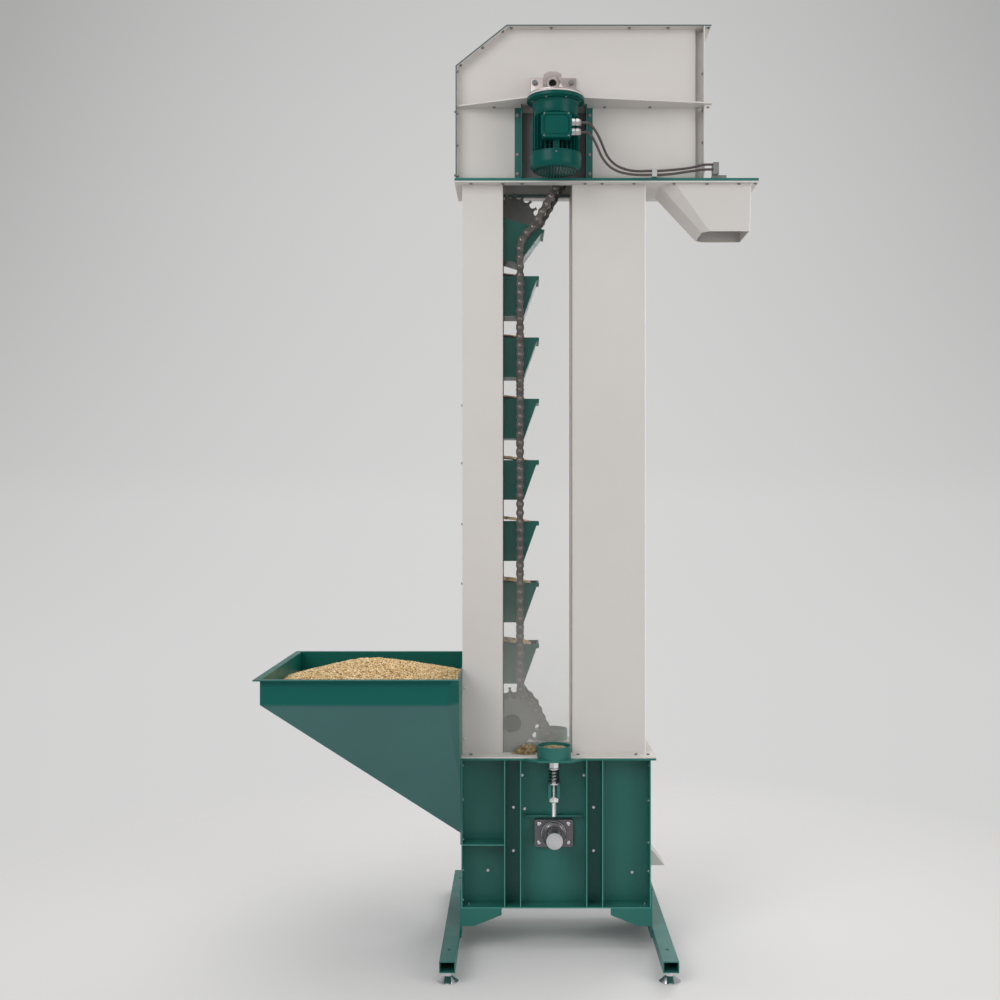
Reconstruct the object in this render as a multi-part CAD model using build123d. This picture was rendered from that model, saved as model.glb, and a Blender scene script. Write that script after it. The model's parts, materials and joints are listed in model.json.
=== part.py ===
from build123d import *
import math
import os

# Bucket elevator with a hopper at its foot, a clear window and a geared head drive.
# Millimetres, +Z up, X along the machine, -Y is the window side. While the pieces
# are made, X = 0 is the middle of the trunk and Y = 0 its mid depth. At the end all
# of them shift in X together, so that the origin is under the middle of the machine.

# Trunk
trunk_half_y = 81.5
trunk_left = -268.0
trunk_right = 259.0
trunk_base_z = 545.0
trunk_height = 1633.0
trunk_sheet = 2.0
window_left = -151.0
window_right = 47.5
window_thick = 3.0
flange_reach = 62.0
flange_sheet = 4.0
base_flange_right = 283.0

# Boot, the lower housing
boot_half_x = 268.0
boot_floor_z = 117.0
boot_sheet = 3.0
boot_top_thick = 6.0
rim_thick = 3.0
rib_middle_x = -7.0
channel_centre = 116.0
channel_width = 48.0
cross_rib_z = 296.0
passage_left = -244.0
passage_right = 236.0
passage_half_y = 76.0

# Drive line
drive_x = -5.5
boot_shaft_z = 317.0
boot_shaft_r = 23.0
boot_shaft_reach = 184.0
head_shaft_rise = 239.0
head_shaft_r = 17.5

# Flange bearings and their slides
bearing_width = 110.0
bearing_height = 78.0
bearing_plate = 12.0
bearing_boss_r = 33.0
bearing_boss_tip_r = 28.0
bearing_boss_length = 22.0
bearing_corner = 6.0
bearing_hole_r = 5.5
bearing_hole_inset = 12.5
bearing_fit = 0.2
slide_top_z = 369.0
slide_thick = 4.0
slide_lip = 14.0
slide_lip_half_width = 80.0

# Take-up screws
screw_y = 112.0
screw_r = 7.5
screw_nut_r = 14.0
screw_cap_height = 28.0
screw_nut_height = 14.0
screw_fit = 0.2
spring_r = 16.5
spring_wire = 4.5
spring_turns = 4
spring_pitch = 11.5
guide_block_top_z = 462.0
guide_block_height = 38.0
guide_block_width = 33.0

# Collars on the boot's top plate
collar_outer_r = 48.0
collar_wall = 3.0
collar_height = 35.0
collar_gap = 0.5
nose_reach = 35.0
nose_half_top = 48.0
nose_half_root = 86.0

# Feet
foot_width = 42.0
foot_height = 30.0
foot_wall = 2.5
foot_half_length = 404.0
foot_under_z = 33.0
pad_r = 29.0
pad_inset = 32.0
pad_rim = 3.0
pad_cone_height = 17.0
pad_neck_r = 11.0
stud_r = 6.0
leg_plate = 4.0
leg_plate_top_z = 172.0
gusset_reach = 114.0
gusset_nose = 19.0
gusset_flat = 36.0
gusset_thick = 4.0
foot_hole_r = 4.5
foot_hole_inset = 88.0

# Hopper
hopper_left = -802.0
hopper_half_y = 312.0
hopper_rim_z = 785.0
hopper_band_z = 719.0
hopper_sheet = 3.0
hopper_lip = 17.0
hopper_lip_thick = 3.0
outlet_half_y = 140.0
outlet_z = 328.0
outlet_gate_half_y = 70.0
outlet_gate_top_z = 500.0
outlet_gate_bottom_z = 350.0
outlet_flange_drop = 32.0
hopper_facet_x = 18.0
hopper_facet_y = 24.0
hopper_facet_drop = 310.0

# Head
head_left = -286.0
head_right = 425.0
head_half_y = 84.5
head_rim_y = 112.0
head_height = 437.0
head_sheet = 3.0
head_recess_width = 20.0
head_recess_depth = 21.0
base_plate_thick = 8.0
base_plate_left = -289.0
base_plate_right = 579.0
sole_thick = 4.0
chamfer_x = 146.0
chamfer_z = 116.5
top_ear = 19.0

# Spout
spout_left_top = 302.0
spout_left_bottom = 422.0
spout_right = 559.0
spout_half_y_top = 97.0
spout_half_y_bottom = 77.0
spout_height = 132.0
spout_sheet = 2.5
spout_crease_top = (40.0, 27.0)
spout_crease_bottom = (22.0, 18.0)
throat_left = 318.0
throat_right = 410.0
throat_half_y = 78.0

# Motor and its mounting
motor_x = -2.5
motor_gap = 1.0
shelf_rise = 207.0
shelf_thick = 4.0
shelf_left_reach = 17.0
shelf_right_reach = 43.0
motor_flange_r = 81.0
motor_flange_thick = 14.0
motor_length = 206.0
shield_r = 62.0
shield_height = 48.0
frame_r = 56.0
fin_r = 67.0
fin_count = 24
fin_thick = 3.0
cowl_r = 71.5
cowl_height = 49.0
cowl_round = 20.0
terminal_width = 85.0
terminal_height = 69.0
terminal_drop = 66.0
terminal_reach = 97.0
terminal_lid = 10.0
terminal_bevel = 8.0
bracket_half_gap = 91.0
bracket_sheet = 3.0
bracket_flange = 21.0
bracket_reach = 40.0
back_plate_thick = 2.0

# Gearbox
gear_x = -11.5
gear_flange_r = 80.0
gear_flange_thick = 8.0
gear_wall_x = -6.5
gear_wall_width = 129.0
gear_wall_height = 81.0
gear_wall_thick = 10.0
gear_body_width = 50.0
gear_body_height = 71.0
gear_body_depth = 105.5
gear_boss_r = 22.0
gear_boss_length = 15.0

# Leads
lead_r = 3.5
lead_fit = 0.5
gland_r = 11.0
gland_length = 29.0
gland_set_back = 21.5
upper_gland_drop = 24.0
lower_gland_drop = 50.0
clip_x = 280.0
clip_width = 14.0
clip_wall = 3.5
junction_x = 447.0
junction_pad_length = 40.0
junction_pad_height = 8.0
junction_body = (16.0, 38.0, 33.0)

# Chain, sprockets and buckets
chain_pitch = 25.4
chain_y = 67.0
chain_x = -102.0
plate_gap = 10.0
plate_thick = 4.0
plate_height = 22.0
plate_waist = 15.0
roller_r = 7.0
roller_seat_gap = 0.4
knee_r = 60.0
guide_teeth = 19
guide_x = -125.0
lower_guide_z = 628.0
upper_guide_drop = 71.0
sprocket_thick = 8.0
tooth_gap_r = 9.6
sprocket_tip = 5.0
boot_teeth = 24
head_teeth = 34
guide_arm_thick = 4.0
guide_arm_height = 34.0
guide_hub_r = 26.0
bucket_spacing = 7 * chain_pitch
tipping_spacing = 6 * chain_pitch
first_rim_z = 854.0
bucket_count = 7
bucket_left = -238.0
bucket_right = -50.0
bucket_bottom_left = -205.0
bucket_bottom_right = -91.0
bucket_height = 115.0
bucket_half_y = 54.0
bucket_sheet = 2.5
bucket_lip = 12.0
bucket_lip_reach = 3.0
tab_width = 20.0
tab_height = 40.0

# Clean-out hood
hood_half_y = 45.0
hood_top_z = 259.0
hood_bottom_z = 210.0
hood_reach = 50.0

# Worked out from the above
boot_top_z = trunk_base_z - flange_sheet
boot_wall_top = boot_top_z - boot_top_thick
frame_half_y = trunk_half_y + flange_reach
channel_inner = channel_centre - channel_width / 2
channel_outer = channel_centre + channel_width / 2
sole_z = trunk_base_z + trunk_height
base_plate_z = sole_z + sole_thick
base_top_z = base_plate_z + base_plate_thick
head_top_z = base_top_z + head_height
head_shaft_z = base_top_z + head_shaft_rise
upper_guide_z = sole_z - upper_guide_drop
spout_bottom_z = sole_z - spout_height
collar_y = trunk_half_y + collar_gap + collar_outer_r
nose_y = frame_half_y + nose_reach
hopper_back_x = trunk_left
shelf_z = base_top_z + shelf_rise
shelf_top_z = shelf_z + shelf_thick
motor_y = -head_half_y - motor_gap - motor_flange_r
motor_flange_z = shelf_z - motor_flange_thick
shield_z = motor_flange_z - shield_height
cowl_bottom_z = shelf_z - motor_length
cowl_top_z = cowl_bottom_z + cowl_height
terminal_top_z = shelf_z - terminal_drop
terminal_bottom_z = terminal_top_z - terminal_height
terminal_front_y = motor_y - terminal_reach
gear_body_front_y = -head_half_y - gear_body_depth
gland_y = terminal_front_y + gland_set_back
origin_x = (hopper_left - hopper_lip + base_plate_right) / 2

pieces = {}


def block(x0, x1, y0, y1, z0, z1):
    """Box between two opposite corners."""
    middle = ((x0 + x1) / 2, (y0 + y1) / 2, (z0 + z1) / 2)
    return Pos(*middle) * Box(x1 - x0, y1 - y0, z1 - z0)


def slab_y(points, y0, y1):
    """Flat piece with an outline of (x, z) points, from y0 to y1."""
    wire = Wire.make_polygon([Vector(x, y0, z) for x, z in points], close=True)
    return extrude(Face(wire), amount=y1 - y0, dir=(0, 1, 0))


def slab_z(points, z0, z1):
    """Flat piece with an outline of (x, y) points, from z0 to z1."""
    wire = Wire.make_polygon([Vector(x, y, z0) for x, y in points], close=True)
    return extrude(Face(wire), amount=z1 - z0, dir=(0, 0, 1))


def rod_y(x, z, radius, y0, y1):
    """Round bar along Y."""
    return Pos(x, (y0 + y1) / 2, z) * Rot(90, 0, 0) * Cylinder(radius, abs(y1 - y0))


def rod_z(x, y, radius, z0, z1):
    """Round bar along Z."""
    return Pos(x, y, (z0 + z1) / 2) * Cylinder(radius, z1 - z0)


def rod_x(y, z, radius, x0, x1):
    """Round bar along X."""
    return Pos((x0 + x1) / 2, y, z) * Rot(0, 90, 0) * Cylinder(radius, x1 - x0)


def back_copy(shape):
    """The same piece on the other side of the mid plane."""
    return shape.mirror(Plane.XZ)


def together(shapes):
    """Several pieces as one, whether they touch or not."""
    return shapes[0].fuse(*shapes[1:])


def boot_pieces():
    """Lower housing of sheet with its stiffeners, top plate and collars."""
    hole = rod_y(drive_x, boot_shaft_z, bearing_boss_r, -trunk_half_y, -trunk_half_y + boot_sheet)
    inner = boot_half_x - boot_sheet
    floor_top = boot_floor_z + boot_sheet
    front = block(-inner, inner, -trunk_half_y, -trunk_half_y + boot_sheet, floor_top, boot_wall_top)
    front -= hole
    pieces["boot_front_wall"] = front
    pieces["boot_back_wall"] = back_copy(front)

    gate = block(-boot_half_x, -inner, -outlet_gate_half_y, outlet_gate_half_y,
                 outlet_gate_bottom_z, outlet_gate_top_z)
    shell = block(-boot_half_x, boot_half_x, -frame_half_y, frame_half_y, boot_floor_z, boot_wall_top)
    shell -= block(-inner, inner, -frame_half_y, frame_half_y, floor_top, boot_wall_top)
    pieces["boot_shell"] = shell - gate

    ribs = boot_ribs(floor_top, inner)
    pieces["boot_front_ribs"] = ribs
    pieces["boot_back_ribs"] = back_copy(ribs)

    plate = block(-boot_half_x, base_flange_right, -frame_half_y, frame_half_y, boot_wall_top, boot_top_z)
    nose = slab_z([(drive_x - nose_half_root, -frame_half_y), (drive_x - nose_half_top, -nose_y),
                   (drive_x + nose_half_top, -nose_y), (drive_x + nose_half_root, -frame_half_y)],
                  boot_wall_top, boot_top_z)
    screw_hole = rod_z(drive_x, -screw_y, screw_r + screw_fit, boot_wall_top, boot_top_z)
    plate = plate + nose + back_copy(nose) - screw_hole - back_copy(screw_hole)
    plate -= block(passage_left, passage_right, -passage_half_y, passage_half_y, boot_wall_top, boot_top_z)
    pieces["boot_top_plate"] = plate

    collar = Pos(drive_x, -collar_y, boot_top_z + collar_height / 2) * (
        Cylinder(collar_outer_r, collar_height) - Cylinder(collar_outer_r - collar_wall, collar_height))
    pieces["front_collar"] = collar
    pieces["back_collar"] = back_copy(collar)


def boot_ribs(floor_top, inner):
    """Two upright channels, a cross rib and the screw's guide block on one wall."""
    ribs = []
    for side in (-1, 1):
        middle = rib_middle_x + side * channel_centre
        outer = block(middle - channel_width / 2, middle + channel_width / 2,
                      -frame_half_y, -trunk_half_y, floor_top, boot_wall_top)
        cavity = block(middle - channel_width / 2 + rim_thick, middle + channel_width / 2 - rim_thick,
                       -frame_half_y, -trunk_half_y - rim_thick, floor_top, boot_wall_top)
        ribs.append(outer - cavity)
    rib_right = rib_middle_x - channel_outer
    ribs.append(block(-inner, rib_right, -frame_half_y, -trunk_half_y,
                      cross_rib_z - rim_thick / 2, cross_rib_z + rim_thick / 2))
    guide = block(drive_x - guide_block_width / 2, drive_x + guide_block_width / 2,
                  -screw_y - guide_block_width / 2, -trunk_half_y,
                  guide_block_top_z - guide_block_height, guide_block_top_z)
    slot = screw_r + screw_fit
    guide -= rod_z(drive_x, -screw_y, slot, guide_block_top_z - guide_block_height, guide_block_top_z)
    guide -= block(drive_x - slot, drive_x + slot, -screw_y - guide_block_width / 2, -screw_y,
                   guide_block_top_z - guide_block_height, guide_block_top_z)
    ribs.append(guide)
    return together(ribs)


def take_up_pieces():
    """Slides, flange bearings, boot shaft and take-up screws."""
    slide_y = -trunk_half_y - slide_thick
    slide = block(rib_middle_x - channel_inner, rib_middle_x + channel_inner, slide_y, -trunk_half_y,
                  boot_floor_z + boot_sheet, slide_top_z)
    slide += block(drive_x - slide_lip_half_width, drive_x + slide_lip_half_width, slide_y - slide_lip,
                   slide_y, slide_top_z - slide_thick, slide_top_z)
    slide -= rod_y(drive_x, boot_shaft_z, bearing_boss_r, slide_y, -trunk_half_y)
    pieces["front_take_up_slide"] = slide
    pieces["back_take_up_slide"] = back_copy(slide)

    bearing = flange_bearing(drive_x, boot_shaft_z, slide_y, boot_shaft_r + bearing_fit)
    pieces["front_boot_bearing"] = bearing
    pieces["back_boot_bearing"] = back_copy(bearing)

    screw = take_up_screw(slide_top_z)
    pieces["front_take_up_screw"] = screw
    pieces["back_take_up_screw"] = back_copy(screw)


def flange_bearing(x, z, seat_y, bore_r):
    """Oblong flange with a stepped boss, on a seat that faces -Y."""
    front_y = seat_y - bearing_plate
    body = block(x - bearing_width / 2, x + bearing_width / 2, front_y, seat_y,
                 z - bearing_height / 2, z + bearing_height / 2)
    body = fillet(body.edges().filter_by(Axis.Y), bearing_corner)
    body += Pos(x, front_y - bearing_boss_length / 2, z) * Rot(90, 0, 0) * Cone(
        bearing_boss_r, bearing_boss_tip_r, bearing_boss_length)
    for sx in (-1, 1):
        for sz in (-1, 1):
            body -= rod_y(x + sx * (bearing_width / 2 - bearing_hole_inset),
                          z + sz * (bearing_height / 2 - bearing_hole_inset),
                          bearing_hole_r, front_y, seat_y)
    return body - rod_y(x, z, bore_r, front_y - bearing_boss_length, seat_y)


def take_up_screw(end_z):
    """Threaded rod with its spring and nuts, under the top plate."""
    top = boot_top_z - 1
    screw = rod_z(drive_x, -screw_y, screw_r, end_z, top)
    nut_outline = RegularPolygon(screw_nut_r, 6)
    for nut_top, height in ((boot_wall_top, screw_cap_height),
                            (guide_block_top_z - guide_block_height, screw_nut_height)):
        screw += Pos(drive_x, -screw_y, nut_top - height) * extrude(nut_outline, amount=height)
    spring_top = boot_wall_top - screw_cap_height
    for turn in range(spring_turns):
        z = spring_top - spring_wire / 2 - turn * spring_pitch
        screw += Pos(drive_x, -screw_y, z) * Cylinder(spring_r, spring_wire)
    return screw


def feet_pieces():
    """Two floor beams, the leg brackets that carry the boot on them, and the levelling pads."""
    pads = []
    top = foot_under_z + foot_height
    inner = boot_half_x + leg_plate
    for side, name in ((-1, "left"), (1, "right")):
        x0, x1 = sorted((side * inner, side * (inner + foot_width)))
        beam = block(x0, x1, -foot_half_length, foot_half_length, foot_under_z, top)
        beam -= block(x0 + foot_wall, x1 - foot_wall, -foot_half_length, foot_half_length,
                      foot_under_z + foot_wall, top - foot_wall)
        middle = (x0 + x1) / 2
        for end in (-1, 1):
            beam -= rod_z(middle, end * (foot_half_length - foot_hole_inset), foot_hole_r, foot_under_z, top)
        pieces[name + "_foot_beam"] = beam

        leg_x = sorted((side * boot_half_x, side * inner))
        leg = block(leg_x[0], leg_x[1], -frame_half_y, frame_half_y, foot_under_z, leg_plate_top_z)
        pieces[name + "_leg_bracket"] = leg + gusset(side, -1) + gusset(side, 1)
        pads += [Pos(middle, end * (foot_half_length - pad_inset), 0) * levelling_pad()
                 for end in (-1, 1)]
    pieces["levelling_pads"] = together(pads)


def gusset(side, end):
    """Gusset under the boot's floor, from the leg plate inwards."""
    x0 = side * boot_half_x
    top = boot_floor_z
    low = foot_under_z + foot_height + 4
    outline = [(x0, top), (x0 - side * gusset_reach, top), (x0 - side * gusset_reach, top - gusset_nose),
               (x0 - side * gusset_flat, low), (x0, low)]
    y = sorted((end * frame_half_y, end * (frame_half_y - gusset_thick)))
    return slab_y(outline, y[0], y[1])


def levelling_pad():
    """Turned pad with a stud that ends under the beam."""
    profile = [(0, 0), (pad_r, 0), (pad_r, pad_rim), (pad_neck_r, pad_cone_height),
               (pad_neck_r, foot_under_z - 6), (stud_r + 6, foot_under_z - 6), (stud_r + 6, foot_under_z),
               (0, foot_under_z)]
    face = Face(Wire.make_polygon([Vector(r, 0, z) for r, z in profile], close=True))
    return revolve(face, axis=Axis.Z)


def trunk_pieces():
    """Sheet trunk: left channel, window panes, closed return duct and flanges."""
    top = sole_z
    left = block(trunk_left, window_left, -trunk_half_y, trunk_half_y, trunk_base_z, top)
    left -= block(trunk_left + trunk_sheet, window_left, -trunk_half_y + trunk_sheet,
                  trunk_half_y - trunk_sheet, trunk_base_z, top)
    pieces["trunk_left_channel"] = left

    duct = block(window_right, trunk_right, -trunk_half_y, trunk_half_y, trunk_base_z, top)
    duct -= block(window_right + trunk_sheet, trunk_right - trunk_sheet, -trunk_half_y + trunk_sheet,
                  trunk_half_y - trunk_sheet, trunk_base_z, top)
    pieces["trunk_return_duct"] = duct

    pane = block(window_left, window_right, -trunk_half_y, -trunk_half_y + window_thick, trunk_base_z, top)
    pieces["front_window"] = pane
    pieces["back_window"] = back_copy(pane)

    flange = block(trunk_left, base_flange_right, -frame_half_y, frame_half_y, boot_top_z, trunk_base_z)
    flange -= block(passage_left, passage_right, -passage_half_y, passage_half_y, boot_top_z, trunk_base_z)
    notch = rod_z(drive_x, -collar_y, collar_outer_r + collar_gap, boot_top_z, trunk_base_z)
    pieces["trunk_base_flange"] = flange - notch - back_copy(notch)


def hopper_solid(inset):
    """Band and wedge of the hopper as one closed form, shrunk inwards by inset."""
    left = hopper_left + inset
    right = hopper_back_x - inset
    half = hopper_half_y - inset
    band = hopper_band_z + inset * 0.6
    low = outlet_z + inset * 1.4
    low_half = outlet_half_y - inset
    body = block(left, right, -half, half, band, hopper_rim_z)
    a, b = (left, -half, band), (right, -half, band)
    c, d = (right, half, band), (left, half, band)
    e, f = (right, -low_half, low), (right, low_half, low)
    faces = [Face(Wire.make_polygon([Vector(*p) for p in loop], close=True))
             for loop in ((a, b, c, d), (a, b, e), (d, c, f), (b, c, f, e), (a, d, f, e))]
    body += Solid(Shell(faces))
    slant = (low_half - half) / (band - low)
    foot_z = hopper_rim_z - hopper_facet_drop
    foot = Vector(right, -half - slant * (band - foot_z), foot_z)
    top = Vector(right - hopper_facet_x, -half, hopper_rim_z)
    side = Vector(right, -half + hopper_facet_y, hopper_rim_z)
    normal = (side - top).cross(foot - top)
    if normal.X < 0:
        normal = -normal
    for mirrored in (1, -1):
        facet = Plane(origin=(top.X, mirrored * top.Y, top.Z),
                      z_dir=(normal.X, mirrored * normal.Y, normal.Z))
        body = split(body, bisect_by=facet, keep=Keep.BOTTOM)
    return body


def hopper_pieces():
    """Feed hopper, split at its corners into sheets, with a flat rim."""
    shell = hopper_solid(0) - hopper_solid(hopper_sheet)
    big = 2000.0
    back_zone = block(hopper_back_x - hopper_sheet, hopper_back_x, -big, big, 0, big)
    back = shell & back_zone
    gate = block(hopper_back_x - hopper_sheet, hopper_back_x, -outlet_gate_half_y, outlet_gate_half_y,
                 outlet_gate_bottom_z, outlet_gate_top_z)
    flange = block(hopper_back_x - hopper_sheet, hopper_back_x, -outlet_half_y, outlet_half_y,
                   outlet_z - outlet_flange_drop, outlet_z)
    pieces["hopper_outlet_wall"] = back - gate + flange
    rest = shell - back_zone
    slope = (hopper_band_z - outlet_z) / (hopper_left - hopper_back_x)
    rise = hopper_sheet * 1.4
    low = outlet_z + rise
    high = low + slope * (hopper_left - hopper_back_x)
    floor_zone = slab_y([(hopper_back_x, 0), (hopper_back_x, low), (hopper_left, high), (hopper_left, 0)],
                        -big, big)
    pieces["hopper_floor"] = rest & floor_zone
    walls = rest - floor_zone
    left_zone = block(hopper_left, hopper_left + hopper_sheet, -big, big, 0, big)
    pieces["hopper_end_wall"] = walls & left_zone
    walls = walls - left_zone
    pieces["hopper_front_wall"] = walls & block(hopper_left, 0, -big, 0, 0, big)
    pieces["hopper_back_wall"] = walls & block(hopper_left, 0, 0, big, 0, big)

    lip = block(hopper_left - hopper_lip, hopper_back_x, -hopper_half_y - hopper_lip,
                hopper_half_y + hopper_lip, hopper_rim_z, hopper_rim_z + hopper_lip_thick)
    lip -= block(hopper_left + hopper_sheet, hopper_back_x - hopper_sheet, -hopper_half_y + hopper_sheet,
                 hopper_half_y - hopper_sheet, hopper_rim_z, hopper_rim_z + hopper_lip_thick)
    pieces["hopper_rim"] = lip


def head_outline(inset):
    """Front view of the head, shrunk by inset."""
    left, right = head_left + inset, head_right - inset
    bottom, top = base_top_z, head_top_z - inset
    cut = inset * 0.4
    return [(left, bottom), (right, bottom), (right, top), (head_left + chamfer_x + cut, top),
            (left, head_top_z - chamfer_z - cut)]


def head_pieces():
    """Head casing on its base plate, with the sole flange and the drive shelf."""
    front = slab_y(head_outline(head_sheet), -head_half_y, -head_half_y + head_sheet)
    step_x = head_right - head_sheet - head_recess_width
    recess_y = -head_half_y + head_recess_depth
    front -= block(step_x, head_right, -head_half_y, 0, base_top_z, head_top_z)
    front += block(step_x - head_sheet, step_x, -head_half_y, recess_y, base_top_z, head_top_z - head_sheet)
    front += block(step_x, head_right - head_sheet, recess_y - head_sheet, recess_y, base_top_z,
                   head_top_z - head_sheet)
    front -= rod_y(gear_x, head_shaft_z, head_shaft_r + 2, -head_half_y, -head_half_y + head_sheet)
    pieces["head_front_wall"] = front
    pieces["head_back_wall"] = back_copy(front)

    hood = slab_y(head_outline(0), -head_rim_y, head_rim_y) - slab_y(head_outline(head_sheet), -head_rim_y, head_rim_y)
    hood += block(head_right, head_right + top_ear, -head_rim_y, head_rim_y, head_top_z - head_sheet, head_top_z)
    pieces["head_hood"] = hood

    plate = block(base_plate_left, base_plate_right, -head_rim_y, head_rim_y, base_plate_z, base_top_z)
    sole = block(base_plate_left, base_plate_right, -head_rim_y, head_rim_y, sole_z, base_plate_z)
    for name, sheet, z0, z1 in (("head_base_plate", plate, base_plate_z, base_top_z),
                                ("head_sole_flange", sole, sole_z, base_plate_z)):
        sheet -= block(passage_left, passage_right, -passage_half_y, passage_half_y, z0, z1)
        sheet -= block(throat_left, throat_right, -throat_half_y, throat_half_y, z0, z1)
        pieces[name] = sheet

    shelf_front_y = motor_y - motor_flange_r * 0.14
    half_front = motor_flange_r * 0.985
    step_x = head_right - head_sheet - head_recess_width
    shelf = slab_z([(head_left + head_sheet, -head_half_y),
                    (head_left + head_sheet, -head_half_y - shelf_left_reach),
                    (motor_x - half_front, shelf_front_y), (motor_x + half_front, shelf_front_y),
                    (head_right + top_ear, -head_half_y - shelf_right_reach),
                    (head_right + top_ear, -head_rim_y), (head_right - head_sheet, -head_rim_y),
                    (head_right - head_sheet, -head_half_y)], shelf_z, shelf_top_z)
    shelf += rod_z(motor_x, motor_y, motor_flange_r, shelf_z, shelf_top_z)
    pieces["drive_shelf"] = shelf


def spout_form(inset):
    """Closed form of the spout between its flange and its mouth, shrunk inwards by inset."""
    rings = []
    for z, left, half, crease in ((sole_z, spout_left_top, spout_half_y_top, spout_crease_top),
                                  (spout_bottom_z, spout_left_bottom, spout_half_y_bottom,
                                   spout_crease_bottom)):
        x0, x1, y = left + inset, spout_right - inset, half - inset
        cut_x, cut_y = crease
        corners = [(x0, y - cut_y), (x0, cut_y - y), (x0 + cut_x, -y), (x1, -y), (x1, y), (x0 + cut_x, y)]
        rings.append(Face(Wire.make_polygon([Vector(cx, cy, z) for cx, cy in corners], close=True)))
    return loft(rings, ruled=True)


def spout_pieces():
    """Tapered discharge spout under the base plate, with creased corners."""
    pieces["discharge_spout"] = spout_form(0) - spout_form(spout_sheet)


def drive_pieces():
    """Hanging flange motor with its brackets, and the gearbox above it."""
    gap = bracket_half_gap
    brackets = []
    for side in (-1, 1):
        foot = sorted((drive_x + side * gap, drive_x + side * (gap + bracket_flange)))
        leg = sorted((drive_x + side * gap, drive_x + side * (gap + bracket_sheet)))
        angle = block(foot[0], foot[1], -head_half_y - bracket_sheet, -head_half_y, base_top_z, shelf_z)
        angle += block(leg[0], leg[1], -head_half_y - bracket_reach, -head_half_y, base_top_z, shelf_z)
        brackets.append(angle)
    pieces["motor_brackets"] = together(brackets)
    pieces["motor_back_plate"] = block(drive_x - gap, drive_x + gap, -head_half_y - back_plate_thick,
                                       -head_half_y, base_top_z, motor_flange_z)
    motor_pieces()
    gearbox_pieces()


def motor_pieces():
    """Motor with its flange up, finned body, fan cowl and terminal box."""
    motor = rod_z(motor_x, motor_y, motor_flange_r, motor_flange_z, shelf_z)
    motor += rod_z(motor_x, motor_y, shield_r, shield_z, motor_flange_z)
    motor += rod_z(motor_x, motor_y, frame_r, cowl_top_z, shield_z)
    fin = block(motor_x - fin_thick / 2, motor_x + fin_thick / 2, motor_y, motor_y + fin_r,
                cowl_top_z, shield_z)
    centre = Axis((motor_x, motor_y, 0), (0, 0, 1))
    fins = [fin.rotate(centre, (i + 0.5) * 360 / fin_count) for i in range(fin_count)]
    half = terminal_width / 2
    box_back = motor_y - frame_r + 2
    room = block(motor_x - half, motor_x + half, terminal_front_y, box_back, terminal_bottom_z,
                 terminal_top_z)
    pieces["motor"] = motor.fuse(*fins) - room

    lid_back = terminal_front_y + terminal_lid
    edge = bracket_sheet
    terminal = block(motor_x - half + edge, motor_x + half - edge, lid_back, box_back,
                     terminal_bottom_z + edge, terminal_top_z - edge)
    lid = block(motor_x - half, motor_x + half, terminal_front_y, lid_back, terminal_bottom_z,
                terminal_top_z)
    pieces["terminal_box"] = terminal + chamfer(lid.edges().filter_by(Axis.Y), terminal_bevel)

    cowl = rod_z(motor_x, motor_y, cowl_r, cowl_bottom_z, cowl_top_z)
    pieces["fan_cowl"] = fillet(cowl.edges().group_by(Axis.Z)[0], cowl_round)


def gearbox_pieces():
    """Gearbox on the shelf with its wall plate and output boss, and the shaft's back bearing."""
    top = shelf_top_z
    gear = rod_z(motor_x, motor_y, gear_flange_r, top, top + gear_flange_thick)
    gear += block(gear_wall_x - gear_wall_width / 2, gear_wall_x + gear_wall_width / 2,
                  -head_half_y - gear_wall_thick, -head_half_y, top, top + gear_wall_height)
    body_half = gear_body_width / 2
    body = block(gear_x - body_half, gear_x + body_half, gear_body_front_y, -head_half_y,
                 top, top + gear_body_height)
    gear += fillet(body.edges().filter_by(Axis.Y).group_by(Axis.Z)[-1], body_half / 3)
    gear += rod_y(gear_x, head_shaft_z, gear_boss_r, gear_body_front_y - gear_boss_length, gear_body_front_y)
    gear -= rod_y(gear_x, head_shaft_z, head_shaft_r + bearing_fit,
                  gear_body_front_y - gear_boss_length, -head_half_y)
    pieces["gearbox"] = gear

    back_bearing = flange_bearing(gear_x, head_shaft_z, -head_half_y, head_shaft_r + bearing_fit)
    pieces["head_back_bearing"] = back_copy(back_bearing)


def pitch_radius(teeth):
    return chain_pitch / (2 * math.sin(math.pi / teeth))


def sprocket(teeth, x, z, phase, y_middle):
    """Toothed disc along Y with a tooth gap at angle phase, seen from -Y."""
    radius = pitch_radius(teeth)
    disc = rod_y(x, z, radius + sprocket_tip, y_middle - sprocket_thick / 2, y_middle + sprocket_thick / 2)
    gap = rod_y(x + radius, z, tooth_gap_r, y_middle - sprocket_thick, y_middle + sprocket_thick)
    axis = Axis((x, 0, z), (0, -1, 0))
    gaps = [gap.rotate(axis, phase + i * 360 / teeth) for i in range(teeth)]
    return disc.cut(*gaps)


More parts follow.
